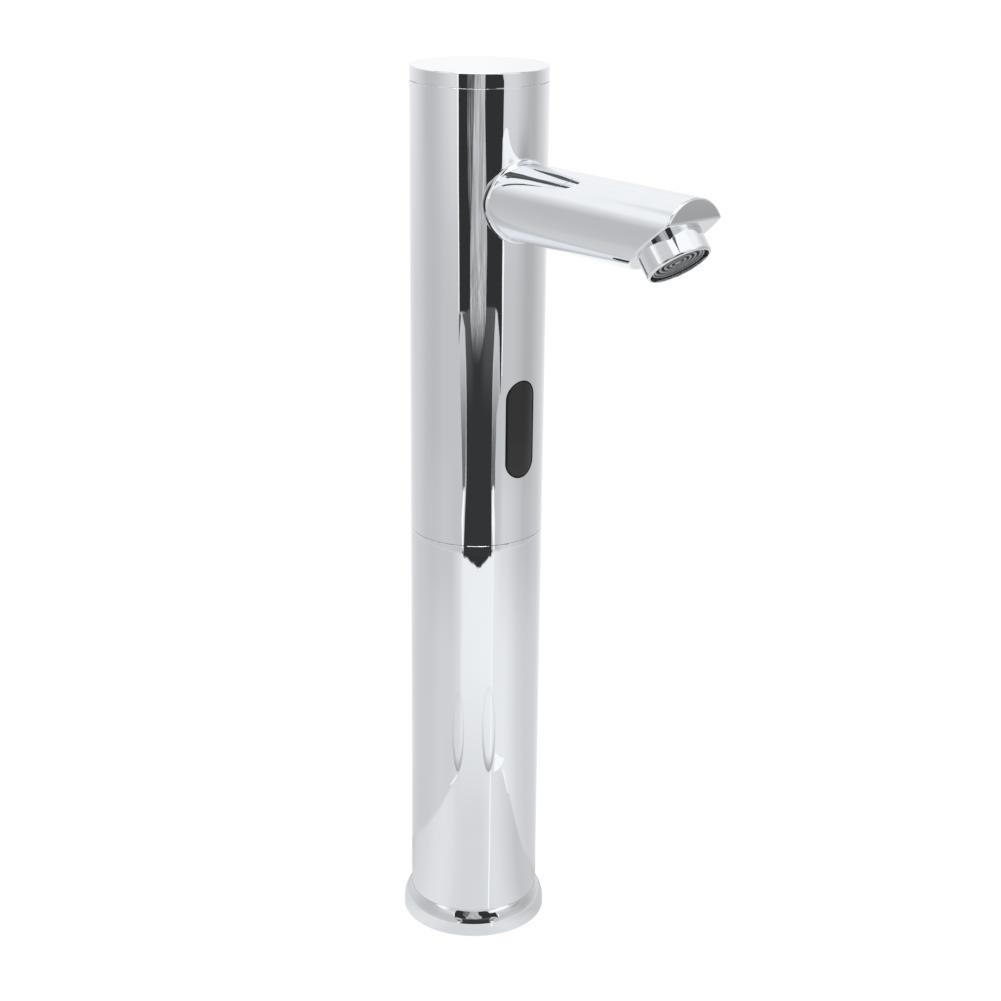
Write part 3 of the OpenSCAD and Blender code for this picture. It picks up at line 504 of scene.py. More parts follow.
def upper_body():
    """The upper tube with its holes for the window, the spout and the grub screw."""
    outline = [(bore_r, mid_seam)] + seam_lip(mid_seam, 1)[::-1]
    outline += seam_lip(top_seam, -1) + [(bore_r, top_seam)]
    for r, (low, high) in ((circlip_groove_r, circlip_groove), (ledge_r, ledge)):
        outline += [(bore_r, high), (r, high), (r, low), (bore_r, low)]
    bm = bmesh.new()
    turn_outline(bm, outline)
    piece = add_piece(bm, "upper_body", "column", "polished_chrome")
    cutter = bmesh.new()
    stadium_face(cutter, window_w, window_h)
    bmesh.ops.translate(cutter, verts=cutter.verts[:], vec=(0, -15.8, window_z))
    thicken(cutter, 20)  # From inside the bore to well in front of the wall
    bar(cutter, spout_r + 0.05, Vector((0, -5, spout_z)), Vector((0, -40, spout_z)), 96)
    bar(cutter, grub_hole_r, Vector((0, 10, grub_z)), Vector((0, 40, grub_z)), 32)
    true_tube_normals(cut_out(piece, cutter))


def true_tube_normals(mesh):
    """Shades the cut tube's outer wall as the true cylinder that it is."""
    normals = [Vector(c.vector) for c in mesh.corner_normals]
    for face in mesh.polygons:
        c = face.center
        out = Vector((c.x, c.y, 0)).normalized()
        if hypot(c.x, c.y) > (body_r - 0.1) * mm and face.normal.dot(out) > 0.99:
            for loop in face.loop_indices:
                p = mesh.vertices[mesh.loops[loop].vertex_index].co
                normals[loop] = Vector((p.x, p.y, 0)).normalized()
    mesh.normals_split_custom_set(normals)


upper_body()


def sensor_window():
    """The glossy window with its rounded rim, bent to the column's wall."""
    thick, rim_r, back_r = 2.4, 0.45, 22.7
    bm = bmesh.new()
    stadium_face(bm, window_w - 2 * window_gap, window_h - 2 * window_gap)
    strips(bm)
    thicken(bm, thick)
    bmesh.ops.recalc_face_normals(bm, faces=bm.faces[:])
    ahead = [e for e in bm.edges if all(v.co.y < 0.1 - thick for v in e.verts)]
    rim = [e for e in ahead if any(abs(f.normal.y) < 0.5 for f in e.link_faces)]
    shape = {"offset_type": "OFFSET", "profile": 0.5, "affect": "EDGES", "material": -1}
    bmesh.ops.bevel(bm, geom=rim, offset=rim_r, segments=4, **shape)
    bmesh.ops.translate(bm, verts=bm.verts[:], vec=(0, -back_r, window_z))
    wrap(bm)
    add_piece(bm, "sensor_window", "column", "black_window")


sensor_window()


def window_gasket():
    """The thin gasket that fills the gap round the window, a little below both."""
    play, deep, back_r = 0.04, 1.8, 22.8
    bm = bmesh.new()
    stadium_face(bm, window_w - play, window_h - play)
    width = {"thickness": window_gap - play, "use_boundary": True, "use_even_offset": True}
    bmesh.ops.inset_region(bm, faces=bm.faces[:], **width)
    middle = max(bm.faces, key=lambda f: f.calc_area())
    bmesh.ops.delete(bm, geom=[middle], context="FACES")
    thicken(bm, deep)
    bmesh.ops.recalc_face_normals(bm, faces=bm.faces[:])
    bmesh.ops.translate(bm, verts=bm.verts[:], vec=(0, -back_r, window_z))
    wrap(bm)
    add_piece(bm, "window_gasket", "column", "black_rubber")


window_gasket()


def socket_screw():
    """The grub screw at the back of the upper body, with its hexagon socket."""
    r, hexagon, length, chamfer, depth, back = 1.95, 1.15, 5.2, 0.2, 2.0, 19.65
    bm = bmesh.new()
    around = bmesh.ops.create_circle(bm, segments=48, radius=r)["verts"]
    rows = [(r, length - chamfer, False), (r - chamfer, length, False)]
    rows += [(hexagon, length, True), (hexagon, length - depth, True)]
    edges = bm.edges[:]
    for radius, rise, six in rows:
        edges = picked(bmesh.ops.extrude_edge_only(bm, edges=edges)["geom"], BMEdge)
        for v in {v for e in edges for v in e.verts}:
            a = atan2(v.co.y, v.co.x)
            reach = radius * cos(pi / 6) / cos(a % (pi / 3) - pi / 6) if six else radius
            v.co = (reach * cos(a), reach * sin(a), rise)
    bmesh.ops.edgeloop_fill(bm, edges=edges)
    bmesh.ops.edgeloop_fill(bm, edges=[e for e in bm.edges if all(v in around for v in e.verts)])
    bmesh.ops.recalc_face_normals(bm, faces=bm.faces[:])
    place = Matrix.Translation((0, back, grub_z)) @ Matrix.Rotation(radians(-90), 4, "X")
    add_piece(bm, "grub_screw", "column", "stainless_steel", place)


socket_screw()


# ---- Spout


def spout_rings(turn):
    """Rings of points from the inside of the spout out to its fillet at the column, and on to its tip."""
    fillet, inside, bore = 1.5, 19.0, 12.0

    def round_bar(r, y_at):
        return [(r * sin(a), y_at(r * sin(a), spout_z + r * cos(a)), spout_z + r * cos(a)) for a in turn]

    def off_column(r, gap):
        """A ring that stays a set distance in front of the column."""
        return round_bar(r, lambda x, z: -sqrt(body_r**2 - x**2) - gap)

    def bore_end(x, z):
        """Where the bore ends, a wall's thickness behind the flat end and the slanted face."""
        slant = foot.y - (end_wall + (z - foot.z) * outlet_axis.z) / outlet_axis.y
        return max(slant, end_wall - spout_end)

    rings = [round_bar(bore, bore_end)] + [round_bar(r, lambda x, z: -inside) for r in (bore, spout_r)]
    rings += [off_column(spout_r, -0.6), off_column(spout_r + fillet, -slip)]
    for i in range(9):
        t = radians(90 - 90 * i / 8)
        rings.append(off_column(spout_r + fillet * (1 - cos(t)), fillet * (1 - sin(t))))
    return rings + [round_bar(spout_r, lambda x, z: -spout_end - 5)]


def join_rings(bm, rings):
    """A closed skin through the rings, with a flat end at the first and at the last."""
    dots = bmesh.ops.create_circle(bm, cap_ends=True, segments=len(rings[0]), radius=12)["verts"]
    order = {v: i for i, v in enumerate(dots)}
    edges = bm.edges[:]
    for v, i in order.items():
        v.co = rings[0][i]
    for ring in rings[1:]:
        spots = {tuple(v.co): i for v, i in order.items()}
        grown = bmesh.ops.extrude_edge_only(bm, edges=edges)["geom"]
        order = {v: spots[tuple(v.co)] for v in picked(grown, BMVert)}
        edges = [e for e in picked(grown, BMEdge) if all(v in order for v in e.verts)]
        for v, i in order.items():
            v.co = ring[i]
    bmesh.ops.edgeloop_fill(bm, edges=edges)
    bmesh.ops.recalc_face_normals(bm, faces=bm.faces[:])


def cut_flat(bm, co, no):
    """Cuts off all that lies past a plane, and closes the cut."""
    whole = bm.verts[:] + bm.edges[:] + bm.faces[:]
    cut = bmesh.ops.bisect_plane(bm, geom=whole, dist=0.002, plane_co=co, plane_no=no, clear_outer=True)
    bmesh.ops.edgeloop_fill(bm, edges=picked(cut["geom_cut"], BMEdge))


def is_cut_end(face):
    """Whether a face lies in the slanted cut or in the flat end."""
    at_tip = face.normal.y < -0.999 and face.calc_center_median().y < -100
    return at_tip or face.normal.dot(outlet_axis) > 0.999


def spout():
    """A round tube with a small fillet at the column and a rounded edge round its cut end."""
    rim, above, below = 0.85, 24, 44
    corner = acos(chord_rise / spout_r)
    turn = [-corner + 2 * corner * i / above for i in range(above)]
    turn += [corner + 2 * (pi - corner) * i / below for i in range(below)]
    bm = bmesh.new()
    join_rings(bm, spout_rings(turn))
    bm = in_order(bm)
    cut_flat(bm, (0, -spout_end, 0), (0, -1, 0))
    cut_flat(bm, foot, outlet_axis)
    bmesh.ops.remove_doubles(bm, verts=bm.verts[:], dist=0.01)
    bm = in_order(bm)
    bmesh.ops.recalc_face_normals(bm, faces=bm.faces[:])
    edges = [e for e in bm.edges if any(is_cut_end(f) for f in e.link_faces)]
    shape = {"offset_type": "OFFSET", "profile": 0.5, "affect": "EDGES", "material": -1}
    bmesh.ops.bevel(bm, geom=edges, offset=rim, segments=5, clamp_overlap=True, **shape)
    piece = add_piece(bm, "spout", "column", "polished_chrome")
    cutter = bmesh.new()
    bar(cutter, collar_r + 0.05, foot + outlet_axis, foot - outlet_axis * (end_wall + 0.6), 112)
    mesh = cut_out(piece, cutter)
    bm = bmesh.new()
    bm.from_mesh(mesh)
    mark_edges(bm)
    bm.to_mesh(mesh)
    bm.free()
    even_normals(piece)


spout()


# ---- Outlet


def outlet_collar():
    """The nozzle: a rounded lip, the bore that takes the insert, and the waterway's hole behind it."""
    lip, mouth_edge, seat = 0.9, 0.15, 5.6
    hole_r, bore, pocket_r, root, bore_foot, pocket_foot = 4.05, 10, 8.4, -5, -1, -3.4
    outline = [(hole_r, root), (collar_r, root)]
    outline += arc(collar_r - lip, proud - lip, lip, 0, 90, 8)
    outline += arc(mouth_r + mouth_edge, proud - mouth_edge, mouth_edge, 90, 180, 3)
    outline += [(mouth_r, seat), (bore, seat), (bore, bore_foot), (pocket_r, bore_foot)]
    outline += [(pocket_r, pocket_foot), (hole_r, pocket_foot)]
    turned_piece("outlet_collar", "column", outline, "polished_chrome", at_outlet(), 112)


outlet_collar()


def aerator_shell():
    """The insert's sleeve, with a ledge inside that holds its screen."""
    edge, wall_in, wall_out, rim = 0.2, 8.8, 9.4, 7.2
    thread_r, thread_top, shell_foot, shelf_r, shelf_foot, shelf_top = 9.92, 5.6, -0.7, 7.6, 0.5, 1.7
    outline = [(wall_in, shell_foot), (thread_r, shell_foot), (thread_r, thread_top), (wall_out, thread_top)]
    outline += arc(wall_out - edge, rim - edge, edge, 0, 90, 3)
    outline += arc(wall_in + edge, rim - edge, edge, 90, 180, 3)
    outline += [(wall_in, shelf_top), (shelf_r, shelf_top), (shelf_r, shelf_foot), (wall_in, shelf_foot)]
    turned_piece("aerator_shell", "aerator", outline, "grey_plastic", at_outlet(), 96)


aerator_shell()


def aerator_seal():
    edge, inner, outer, low, high = 0.4, 9.48, 10.42, 5.65, 6.85
    outline = [(inner, low), (outer, low)]
    outline += arc(outer - edge, high - edge, edge, 0, 90, 4)
    outline += arc(inner + edge, high - edge, edge, 90, 180, 4)
    turned_piece("aerator_seal", "aerator_washer", outline, "black_rubber", at_outlet(), 96)


aerator_seal()


def aerator_grid():
    """A hub and four rings on six low spokes, as the insert's face has."""
    hub, outer, wall, low, high = 1.35, 8.75, 0.95, 4.8, 6.9
    hub_edge, edge, spoke_h = 0.4, 0.38, 1.05
    pitch = (outer - hub) / 4
    bm = bmesh.new()
    middle = arc(hub - hub_edge, high - hub_edge, hub_edge)
    turn_outline(bm, [(0, low), (hub, low)] + middle + [(0, high)], 48)
    for k in range(1, 5):
        out = hub + k * pitch
        ring = [(out - wall, low), (out, low)] + arc(out - edge, high - edge, edge, 0, 90, 5)
        turn_outline(bm, ring + arc(out - wall + edge, high - edge, edge, 90, 180, 5), 72)
    centre = Vector((hub + (outer - hub - 0.2) / 2, 0, (low + high) / 2 - 0.5))
    for i in range(6):
        turn = Matrix.Rotation(i * pi / 3, 4, "Z") @ Matrix.Translation(centre)
        bmesh.ops.create_cube(bm, size=1, matrix=turn @ Matrix.Diagonal((outer - hub, wall, spoke_h, 1)))
    add_piece(bm, "aerator_grid", "aerator", "grey_plastic", at_outlet())


aerator_grid()


# ---- Springs


def spring(name):
    """A coil spring between the column and a moving piece, rebuilt from its node's mesh with the doubled
    points merged.
    """
    bm = bmesh.new()
    bm.from_mesh(frame["nodes"][name].data)
    bmesh.ops.remove_doubles(bm, verts=bm.verts[:], dist=0.001 * mm)
    piece = add_piece(bm, name, "column", "stainless_steel", Matrix.Scale(1 / mm, 4))
    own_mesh(piece)


spring("check_spring")
spring("plunger_spring")


# ---- Camera

scene = bpy.context.scene
camera_spot = Vector((-0.4639, -0.5464, 0.4252))


def photo_camera():
    """A camera that stands, looks and zooms as the photo's does."""
    ahead = Vector((0.6199, 0.7114, -0.3310)).normalized()
    right = ahead.cross(Vector((0.2087, 0.2571, 0.9436))).normalized()
    upward = right.cross(ahead)
    camera = bpy.data.objects.new("camera", bpy.data.cameras.new("camera"))
    camera.data.lens, camera.data.sensor_width = 71.62, 36
    turn = Matrix((right, upward, -ahead)).transposed().to_4x4()
    camera.matrix_world = Matrix.Translation(camera_spot) @ turn
    scene.collection.objects.link(camera)
    scene.camera = camera


photo_camera()


# ---- Studio

# The camera's side of the tap, from which the angles below are counted, and the tent's radius in metres
front = atan2(camera_spot.y, camera_spot.x)
tent_r = 0.45


class Glow(Finish):
    """A lit surface, with one level or with a pattern that feeds its colour."""

    def __init__(self, name, level=1.0):
        super().__init__(name)
        self.tree.nodes.remove(self.shader)
        self.shader = self.tree.nodes.new("ShaderNodeEmission")
        self.shader.inputs["Color"].default_value = rgb(level, level, level)
        self.tree.links.new(self.shader.outputs[0], self.tree.nodes["Material Output"].inputs["Surface"])

    def polar(self):
        """A point's angle from the camera's side in degrees, its radius and its height in millimetres."""
        inputs = {"Vector": self.place(), "Angle": -front}
        turned = {"Vector": self.node("ShaderNodeVectorRotate", {"rotation_type": "Z_AXIS"}, inputs)}
        x, y, z = (self.node("ShaderNodeSeparateXYZ", {}, turned, out=i) * (1 / mm) for i in range(3))
        return x.math("ARCTAN2", y, x) * (180 / pi), x.math("SQRT", x * x + y * y), z

    def around(self, angle, levels):
        """Brightness by the angle from the camera's side."""
        stops = [((a + 180) / 360, level) for a, level in levels]
        return self.node("ShaderNodeValToRGB", {"stops": stops}, {0: angle / 360 + 0.5})

    def soft_step(self, value, start, end):
        inputs = {"Value": value, "From Min": start, "From Max": end}
        return self.node("ShaderNodeMapRange", {"interpolation_type": "SMOOTHSTEP"}, inputs)


def studio_card(bm, name, material):
    """A lit card that only shows in reflections."""
    mesh = bpy.data.meshes.new(name)
    bm.to_mesh(mesh)
    bm.free()
    mesh.materials.append(material)
    card = bpy.data.objects.new(name, mesh)
    scene.collection.objects.link(card)
    card.visible_camera = card.visible_diffuse = card.visible_shadow = False
    card.visible_transmission = card.visible_volume_scatter = False


def bent_card(name, rows, spot, material, across):
    """A card through rows of (place in mm, left angle, right angle). A place gives a radius and a height."""
    bm = bmesh.new()
    bmesh.ops.create_grid(bm, x_segments=across, y_segments=len(rows) - 1, size=1)
    for v in bm.verts:
        place, left, right = rows[round((v.co.y + 1) / 2 * (len(rows) - 1))]
        a = front + radians(left + (right - left) * (v.co.x + 1) / 2)
        radius, height = spot(place * mm)
        v.co = (radius * cos(a), radius * sin(a), height)
    studio_card(bm, name, material)


def wall_card(name, rows, radius, material, across=8):
    """A card on the tent's wall, whose rows start with a height."""
    bent_card(name, rows, lambda place: (radius, place), material, across)


def floor_card(name, rows, lift, material):
    """A card on the floor, whose rows start with a radius."""
    bent_card(name, rows, lambda place: (place, lift), material, 8)


def tent_wall():
    """The tent's cloth: its tones near the foot and near the top of the tap, and brighter cloth above."""
    f = Glow("tent_cloth")
    angle, _, height = f.polar()
    lower = [(-180, 0.99), (-165, 0.95), (-155, 0.84), (-141, 0.75), (-127, 0.70), (-112, 0.66), (-95, 0.58)]
    lower += [(-83, 0.55), (-70, 0.56), (-57, 0.59), (-33, 0.60), (40, 0.60), (52, 0.61), (64, 0.59)]
    lower += [(76, 0.54), (88, 0.48), (101, 0.49), (112, 0.56), (124, 0.63), (138, 0.70), (152, 0.80)]
    lower += [(165, 0.90), (180, 0.99)]
    upper = [(-180, 0.99), (-165, 0.97), (-155, 0.90), (-141, 0.84), (-127, 0.79), (-112, 0.70), (-95, 0.56)]
    upper += [(-83, 0.54), (-70, 0.60), (-57, 0.69), (-45, 0.77), (-33, 0.79), (40, 0.73), (52, 0.75)]
    upper += [(64, 0.70), (76, 0.60), (88, 0.51), (101, 0.49), (117, 0.64), (138, 0.82), (152, 0.88)]
    upper += [(165, 0.92), (180, 0.99)]
    low = f.around(angle, lower)
    low = low + (f.around(angle, upper) - low) * f.soft_step(height, 140, 290)

    # Lighter cloth close to the floor, and a shade that the spout's end sees
    lift = [(-100, 0), (-82, 0.08), (-45, 0.05), (-35, 0), (38, 0), (46, 0.20), (62, 0.15), (98, 0.15)]
    low = low * (1 + f.around(angle, lift + [(125, 0)]) * f.soft_step(height, 80, 20))
    beside_end = f.around(angle, [(62, 0), (73, 1), (80, 1), (92, 0)])
    low = low * (1 - beside_end * (f.soft_step(height, 185, 222) - f.soft_step(height, 226, 262)) * 0.32)

    # Bright cloth above, which starts lower on the camera's side
    facing = f.around(angle, [(-75, 0), (-68, 1), (66, 1), (72, 0)])
    high = f.soft_step(height, 380, 640)
    high = high.math("MAXIMUM", high, facing * f.soft_step(height, 288, 312))
    sides = [(-180, 0.98), (-128, 0.98), (-112, 0.72), (-68, 0.70), (-56, 1.06), (58, 1.06), (70, 0.70)]
    far_up = f.around(angle, sides + [(112, 0.70), (130, 0.98), (180, 0.98)])
    above = 0.98 + facing * 0.08
    above = above + (far_up - above) * f.soft_step(height, 740, 860)

    # Painted shade in front: a dimmer band of the glowing cloth, which the top of the flange sees and
    # reflects as grey
    grey = f.around(angle, [(-56, 0), (-44, 1), (26, 1), (34, 0)])
    wide_grey = f.around(angle, [(-56, 0), (-44, 1), (44, 1), (56, 0)])
    grey = grey + (wide_grey - grey) * f.soft_step(height, 402, 430)
    grey = grey * (f.soft_step(height, 290, 325) - f.soft_step(height, 575, 605)) * 0.36

    folds = f.noise(14, 3, (1, 1, 0.12))
    level = (low + (above - low) * high) * (1 - grey) * (0.96 + folds * 0.08)
    bm = bmesh.new()
    bmesh.ops.create_cone(bm, cap_ends=False, segments=180, radius1=tent_r, radius2=tent_r, depth=1.3)
    bmesh.ops.translate(bm, verts=bm.verts[:], vec=(0, 0, 0.6505))
    studio_card(bm, "tent_wall", f.feed(Color=level))


tent_wall()
dark = Glow("dark_gap", 0.033).material
white = Glow("white_edge", 1.05).material


def gap_above():
    """The dark opening on the camera's side, above the column's middle seam, and its two legs."""
    rows = [(149, -29.8, 40.2), (165, -30.5, 40), (200, -31, 39.5), (235, -32.2, 39), (280, -33, 39.5)]
    rows += [(288, -33, 36), (296, -33, 29), (400, -33, 27), (430, -30, 22)]
    wall_card("gap_above", rows, 0.445, dark, 24)
    wall_card("gap_leg_left", [(132, -30.6, -30.2), (150, -30.2, -27.4)], 0.438, dark)
    rows = [(103, 38.8, 39.4), (118, 37.6, 40.2), (135, 36, 40.2), (153, 32, 40.2)]
    wall_card("gap_leg_right", rows, 0.438, dark)


gap_above()


def high_gaps():
    """Shaded openings above the tap, which the spout's root and the outlet's nozzle see."""
    f = Glow("shaded_side")
    shaded = f.feed(Color=0.05 + f.soft_step(f.noise(60, 3, (1, 1, 0.4)), 0.35, 0.7) * 0.16)
    rows = [(457, -24, -19), (462, -19, 14), (470, -17, 17), (480, -17, 13), (490, -25, 8), (500, -32, 2)]
    wall_card("gap_over", rows + [(512, -36, -7), (600, -36, -8)], 0.2, shaded)
    rows = [(418, 74, 77), (424, 71.5, 82), (430, 70.5, 92), (440, 70, 104), (450, 70, 109), (460, 69, 106)]
    rows += [(470, 66.5, 101), (480, 62, 96), (490, 60, 89), (502, 56, 72)]
    wall_card("gap_right", rows, 0.2, shaded)
    rows = [(545, -85, -72), (580, -85, -66), (620, -85, -64), (660, -86, -62), (680, -87, -68)]
    wall_card("gap_left", rows + [(695, -88, -80)], 0.445, shaded)
    wall_card("gap_top", [(800, -38, 10), (1300, -38, 10)], 0.445, dark)
    rows = [(690, 3.5, 7), (715, 7, 10.5), (740, 11.5, 15), (770, 17.5, 21), (800, 23, 27)]
    wall_card("gap_pole", rows, 0.445, shaded)


high_gaps()


def roof():
    bm = bmesh.new()
    bmesh.ops.create_circle(bm, cap_ends=True, segments=96, radius=tent_r)
    bmesh.ops.translate(bm, verts=bm.verts[:], vec=(0, 0, 1.301))
    studio_card(bm, "tent_roof", Glow("roof_cloth", 0.72).material)


roof()


def gap_below():
    """The dark front of the opening, a little lighter at its top corners."""
    f = Glow("gap_front")
    angle, _, height = f.polar()
    side = f.around(angle, [(-24, 0.075), (-12, 0.06), (-4, 0), (5, 0), (13, 0.055), (30, 0.075)])
    level = 0.038 + side * f.soft_step(height, 80, 150)
    rows = [(-2, -21.5, 26.5), (20, -19.5, 26), (50, -17, 25), (100, -17.5, 25.4), (120, -18.2, 26)]
    rows += [(140, -20.5, 28), (149, -25.5, 29.5), (152, -12, 29.5)]
    wall_card("gap_below", rows, 0.443, f.feed(Color=level), 24)


gap_below()


def side_slivers():
    """Two strips of cloth beside the opening, lit at their tops, and the bright edges round them."""
    f = Glow("sliver_cloth")
    _, _, height = f.polar()
    level = 0.17 + f.soft_step(height, 55, 150) * 0.48 * (0.75 + f.noise(90, 3) * 0.5)
    cloth = f.feed(Color=level)
    rows = [(44, -23.5, -19.2), (60, -24.2, -18.4), (90, -26.8, -18.2), (118, -28.8, -19.4)]
    wall_card("sliver_left", rows + [(138, -29, -22.2), (149, -26.6, -25.4)], 0.439, cloth)
    rows = [(44, 25.2, 31.4), (60, 25.2, 31.2), (90, 25.8, 32.8), (103, 26.3, 37.4), (118, 27.2, 36.8)]
    wall_card("sliver_right", rows + [(135, 28, 35), (152, 29, 30.6)], 0.439, cloth)
    rows = [(150, -31.6, -30.4), (200, -32.8, -31.2), (240, -34.4, -32.4), (290, -35.2, -33)]
    wall_card("edge_left", rows, 0.442, white)
    rows = [(112, 40.4, 41.6), (150, 40.4, 42.6), (185, 40, 43), (200, 39.6, 41.6)]
    wall_card("edge_right", rows, 0.442, white)
    rows = [(8, -23.6, -21.6), (24, -25, -21), (40, -22.8, -19.6), (47, -21.4, -19.8)]
    wall_card("glint_left", rows, 0.437, white)
    rows = [(6, 29.6, 31.6), (22, 26.4, 31.8), (36, 26.6, 30.2), (47, 27, 29.8)]
    wall_card("glint_right", rows, 0.437, white)


side_slivers()


def tent_fold():
    """The pale cloth that hangs in the dark gap: one shaded fold and one lit fold."""
    f = Glow("fold_shade")
    level = 0.08 + f.soft_step(f.noise(60, 4, (1, 1, 0.5)), 0.35, 0.7) * 0.24
    rows = [(200, -13, -8), (228, -17, -6), (262, -18.4, -5), (400, -18, -5), (428, -15, -5)]
    wall_card("fold_shade", rows, 0.436, f.feed(Color=level))
    f = Glow("fold_lit")
    _, _, height = f.polar()
    creases = f.soft_step(f.noise(50, 5, (1, 1, 0.6)), 0.35, 0.65) * 0.24
    crumple = f.soft_step(f.noise(230, 3, (1, 1, 0.7)), 0.35, 0.68) - 0.5
    lit = 0.34 + creases + crumple * 0.3 * f.soft_step(height, 195, 165)
    level = 0.04 + lit * f.soft_step(height, 121, 160)
    rows = [(118, -2, 1), (128, -7, 6), (138, -10, 11), (150, -12.3, 13.4), (190, -12.6, 14.2)]
    rows += [(215, -10.6, 13), (240, -9, 11), (270, -7.6, 9.4), (400, -7, 9), (428, -5, 6)]
    wall_card("fold_lit", rows, 0.434, f.feed(Color=level))


tent_fold()


def floor_light():
    """What the polished metal sees of the floor: a bright lane in front, and softer light near the foot."""
    f = Glow("floor_glow")
    angle, radius, _ = f.polar()
    far = [(-180, 0.99), (-164, 0.95), (-150, 0.78), (-130, 0.69), (-110, 0.66), (-84, 0.66), (-60, 0.71)]
    far += [(-40, 0.70), (-27, 0.78), (-22, 0.93), (27, 0.96), (31, 0.90), (50, 0.90), (62, 0.84), (78, 0.73)]
    far += [(100, 0.68), (130, 0.71), (150, 0.82), (180, 0.99)]
    near = [(-180, 0.6), (-130, 0.625), (-112, 0.72), (-83, 0.77), (-68, 0.82), (-50, 0.84), (-37, 0.82)]
    near += [(-27, 0.77), (-16, 0.745), (11, 0.75), (20, 0.79), (30, 0.825), (40, 0.80), (51, 0.74)]
    near += [(62, 0.68), (73, 0.61), (87, 0.62), (102, 0.64), (130, 0.57), (180, 0.6)]

    # How far out the far light starts, as a share of the tent's radius
    cloth = [(-180, 0.10), (-130, 0.155), (-90, 0.21), (-60, 0.265), (-40, 0.32), (-27, 0.35), (0, 0.37)]
    cloth += [(34, 0.385), (50, 0.345), (60, 0.30), (75, 0.225), (90, 0.165), (120, 0.10), (180, 0.09)]
    past = radius - f.around(angle, cloth) * (tent_r / mm)
    middle = f.around(angle, [(-30, 0), (-20, 1), (22, 1), (32, 0)])
    close = f.around(angle, near) + middle * f.soft_step(radius, 110, 250) * 0.1
    wide = f.around(angle, far) - middle * (0.09 - f.soft_step(radius, 170, 300) * 0.09)
    out = f.soft_step(past, -4, 4) * (1 - middle) + f.soft_step(past, -60, 60) * middle
    level = close + (wide - close) * out
    fade = [(-125, 0), (-102, 0.04), (-75, 0.12), (-45, 0.13), (-30, 0), (30, 0), (46, 0.14), (98, 0.17)]
    level = level * (1 - f.around(angle, fade + [(150, 0)]) * f.soft_step(radius, 265, 470))
    bm = bmesh.new()
    bmesh.ops.create_circle(bm, cap_ends=True, segments=128, radius=tent_r)
    bmesh.ops.translate(bm, verts=bm.verts[:], vec=(0, 0, 0.0004))
    studio_card(bm, "floor_glow", f.feed(Color=level))


floor_light()


def floor_marks():
    """The dark gap's foot on the floor, the bright line down the column and the edges of the cloth."""
    tip = [(423, 3, 7), (430, -3, 12), (440, -14, 21), (446, -22, 27), (452, -26, 30)]
    floor_card("gap_foot", tip, 0.0012, dark)
    lane = [(40, 18.6, 20), (60, 21.4, 23.4), (100, 24.4, 26.4), (160, 26.2, 27.8), (300, 28, 29.2)]
    floor_card("bright_line", lane + [(446, 29, 30.2)], 0.0008, white)
    floor_card("cloth_corner", [(160, 33, 36), (168, 34, 50), (172, 35, 52), (178, 35, 38)], 0.0009, white)
    floor_card("cloth_edge", [(134, 58, 59.6), (145, 53.5, 55), (160, 49, 51)], 0.0009, white)
    floor_card("left_edge", [(146, -42, -40), (152, -35, -32), (157, -30, -28)], 0.0009, white)


floor_marks()


def surface_mix(f, share, first, second):
    """Ends a material with a mix of two shaders' outputs."""
    mix = f.node("ShaderNodeMixShader", {}, {0: share, 1: first, 2: second})
    f.tree.links.new(mix.socket, f.tree.nodes["Material Output"].inputs["Surface"])


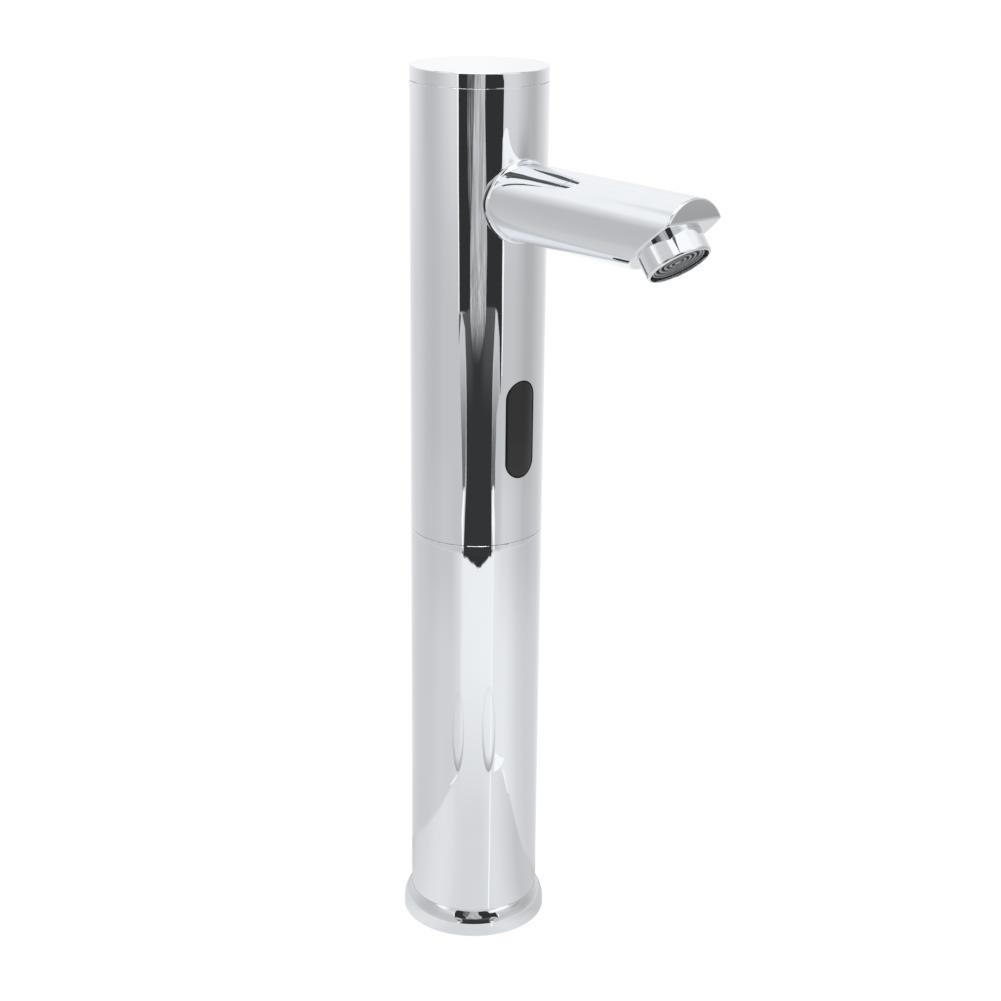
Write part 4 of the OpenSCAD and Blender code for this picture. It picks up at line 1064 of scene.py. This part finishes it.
def grey_floor_ring(name, middle, reach):
    """A thin dim ring that glows on the floor and only shows in reflections, dark on the near side and gone
    on the far side.
    """
    f = Glow(name, 0.42)
    _, radius, _ = f.polar()
    rim = f.node("ShaderNodeUVMap", {"uv_map": "rim"})
    out = f.node("ShaderNodeSeparateXYZ", {}, {"Vector": rim}, out=0)
    near = f.soft_step(radius, middle[0] + reach[0], middle[0] - reach[0])
    shade = f.soft_step(out, 0.62, 0.93) * (1 - f.soft_step(out, 0.95, 1.0)) * (0.1 + near * near * 0.8)
    surface_mix(f, shade, f.node("ShaderNodeBsdfTransparent"), Wire(f, f.shader.outputs[0]))
    bm = bmesh.new()
    layer = bm.loops.layers.uv.new("rim")
    bmesh.ops.create_circle(bm, segments=48, radius=1)
    ring = bm.edges[:]
    for step in range(6):
        ring = picked(bmesh.ops.extrude_edge_only(bm, edges=ring)["geom"], BMEdge)
        for v in {v for e in ring for v in e.verts}:
            v.co.xy *= (5.02 - step) / (6.02 - step)
    for face in bm.faces:
        for loop in face.loops:
            loop[layer].uv = (loop.vert.co.xy.length, 0)
    for v in bm.verts:
        a = front + radians(middle[1] + v.co.x * reach[1])
        r = (middle[0] + v.co.y * reach[0]) * mm
        v.co = (r * cos(a), r * sin(a), 0.001)
    studio_card(bm, name, f.material)


# Two dim glowing rings on the floor, which paint darker marks into the chrome's reflection
grey_floor_ring("left_grey_ring", (205, -28), (46, 10.5))
grey_floor_ring("right_grey_ring", (209, 24), (50, 12))


def floor():
    """A plain white floor that keeps the tap's soft shadow."""
    f = Finish("white_floor", Roughness=0.9, Specular_IOR_Level=0.0, Base_Color=rgb(0.9, 0.9, 0.9))
    seen = f.node("ShaderNodeLightPath", out=0)
    mirrored = f.node("ShaderNodeLightPath", out=3)
    plain = f.node("ShaderNodeEmission", {}, {"Color": rgb(1.02, 1.02, 1.02)})
    share = seen.math("MAXIMUM", seen, mirrored) * 0.88
    surface_mix(f, share, Wire(f, f.shader.outputs[0]), plain)
    bm = bmesh.new()
    bmesh.ops.create_circle(bm, cap_ends=True, segments=96, radius=6)
    mesh = bpy.data.meshes.new("floor")
    bm.to_mesh(mesh)
    bm.free()
    mesh.materials.append(f.material)
    plane = bpy.data.objects.new("floor", mesh)
    scene.collection.objects.link(plane)


floor()


def soft_light():
    """Even white light from all sides, and one wide lamp overhead that leaves no highlight."""
    world = bpy.data.worlds.new("studio")
    scene.world = world
    world.use_nodes = True
    backdrop = world.node_tree.nodes["Background"]
    backdrop.inputs["Color"].default_value = rgb(1, 1, 1)
    backdrop.inputs["Strength"].default_value = 1.0
    lamp = bpy.data.objects.new("soft_lamp", bpy.data.lights.new("soft_lamp", "AREA"))
    lamp.data.energy, lamp.data.size = 6, 0.9
    lamp.data.specular_factor = 0
    turn = Vector((0.4, 0.3, -1.0)).to_track_quat("-Z", "Y").to_matrix().to_4x4()
    lamp.matrix_world = Matrix.Translation((-0.4, -0.3, 1.1)) @ turn
    scene.collection.objects.link(lamp)


soft_light()
scene.view_settings.view_transform = "Standard"
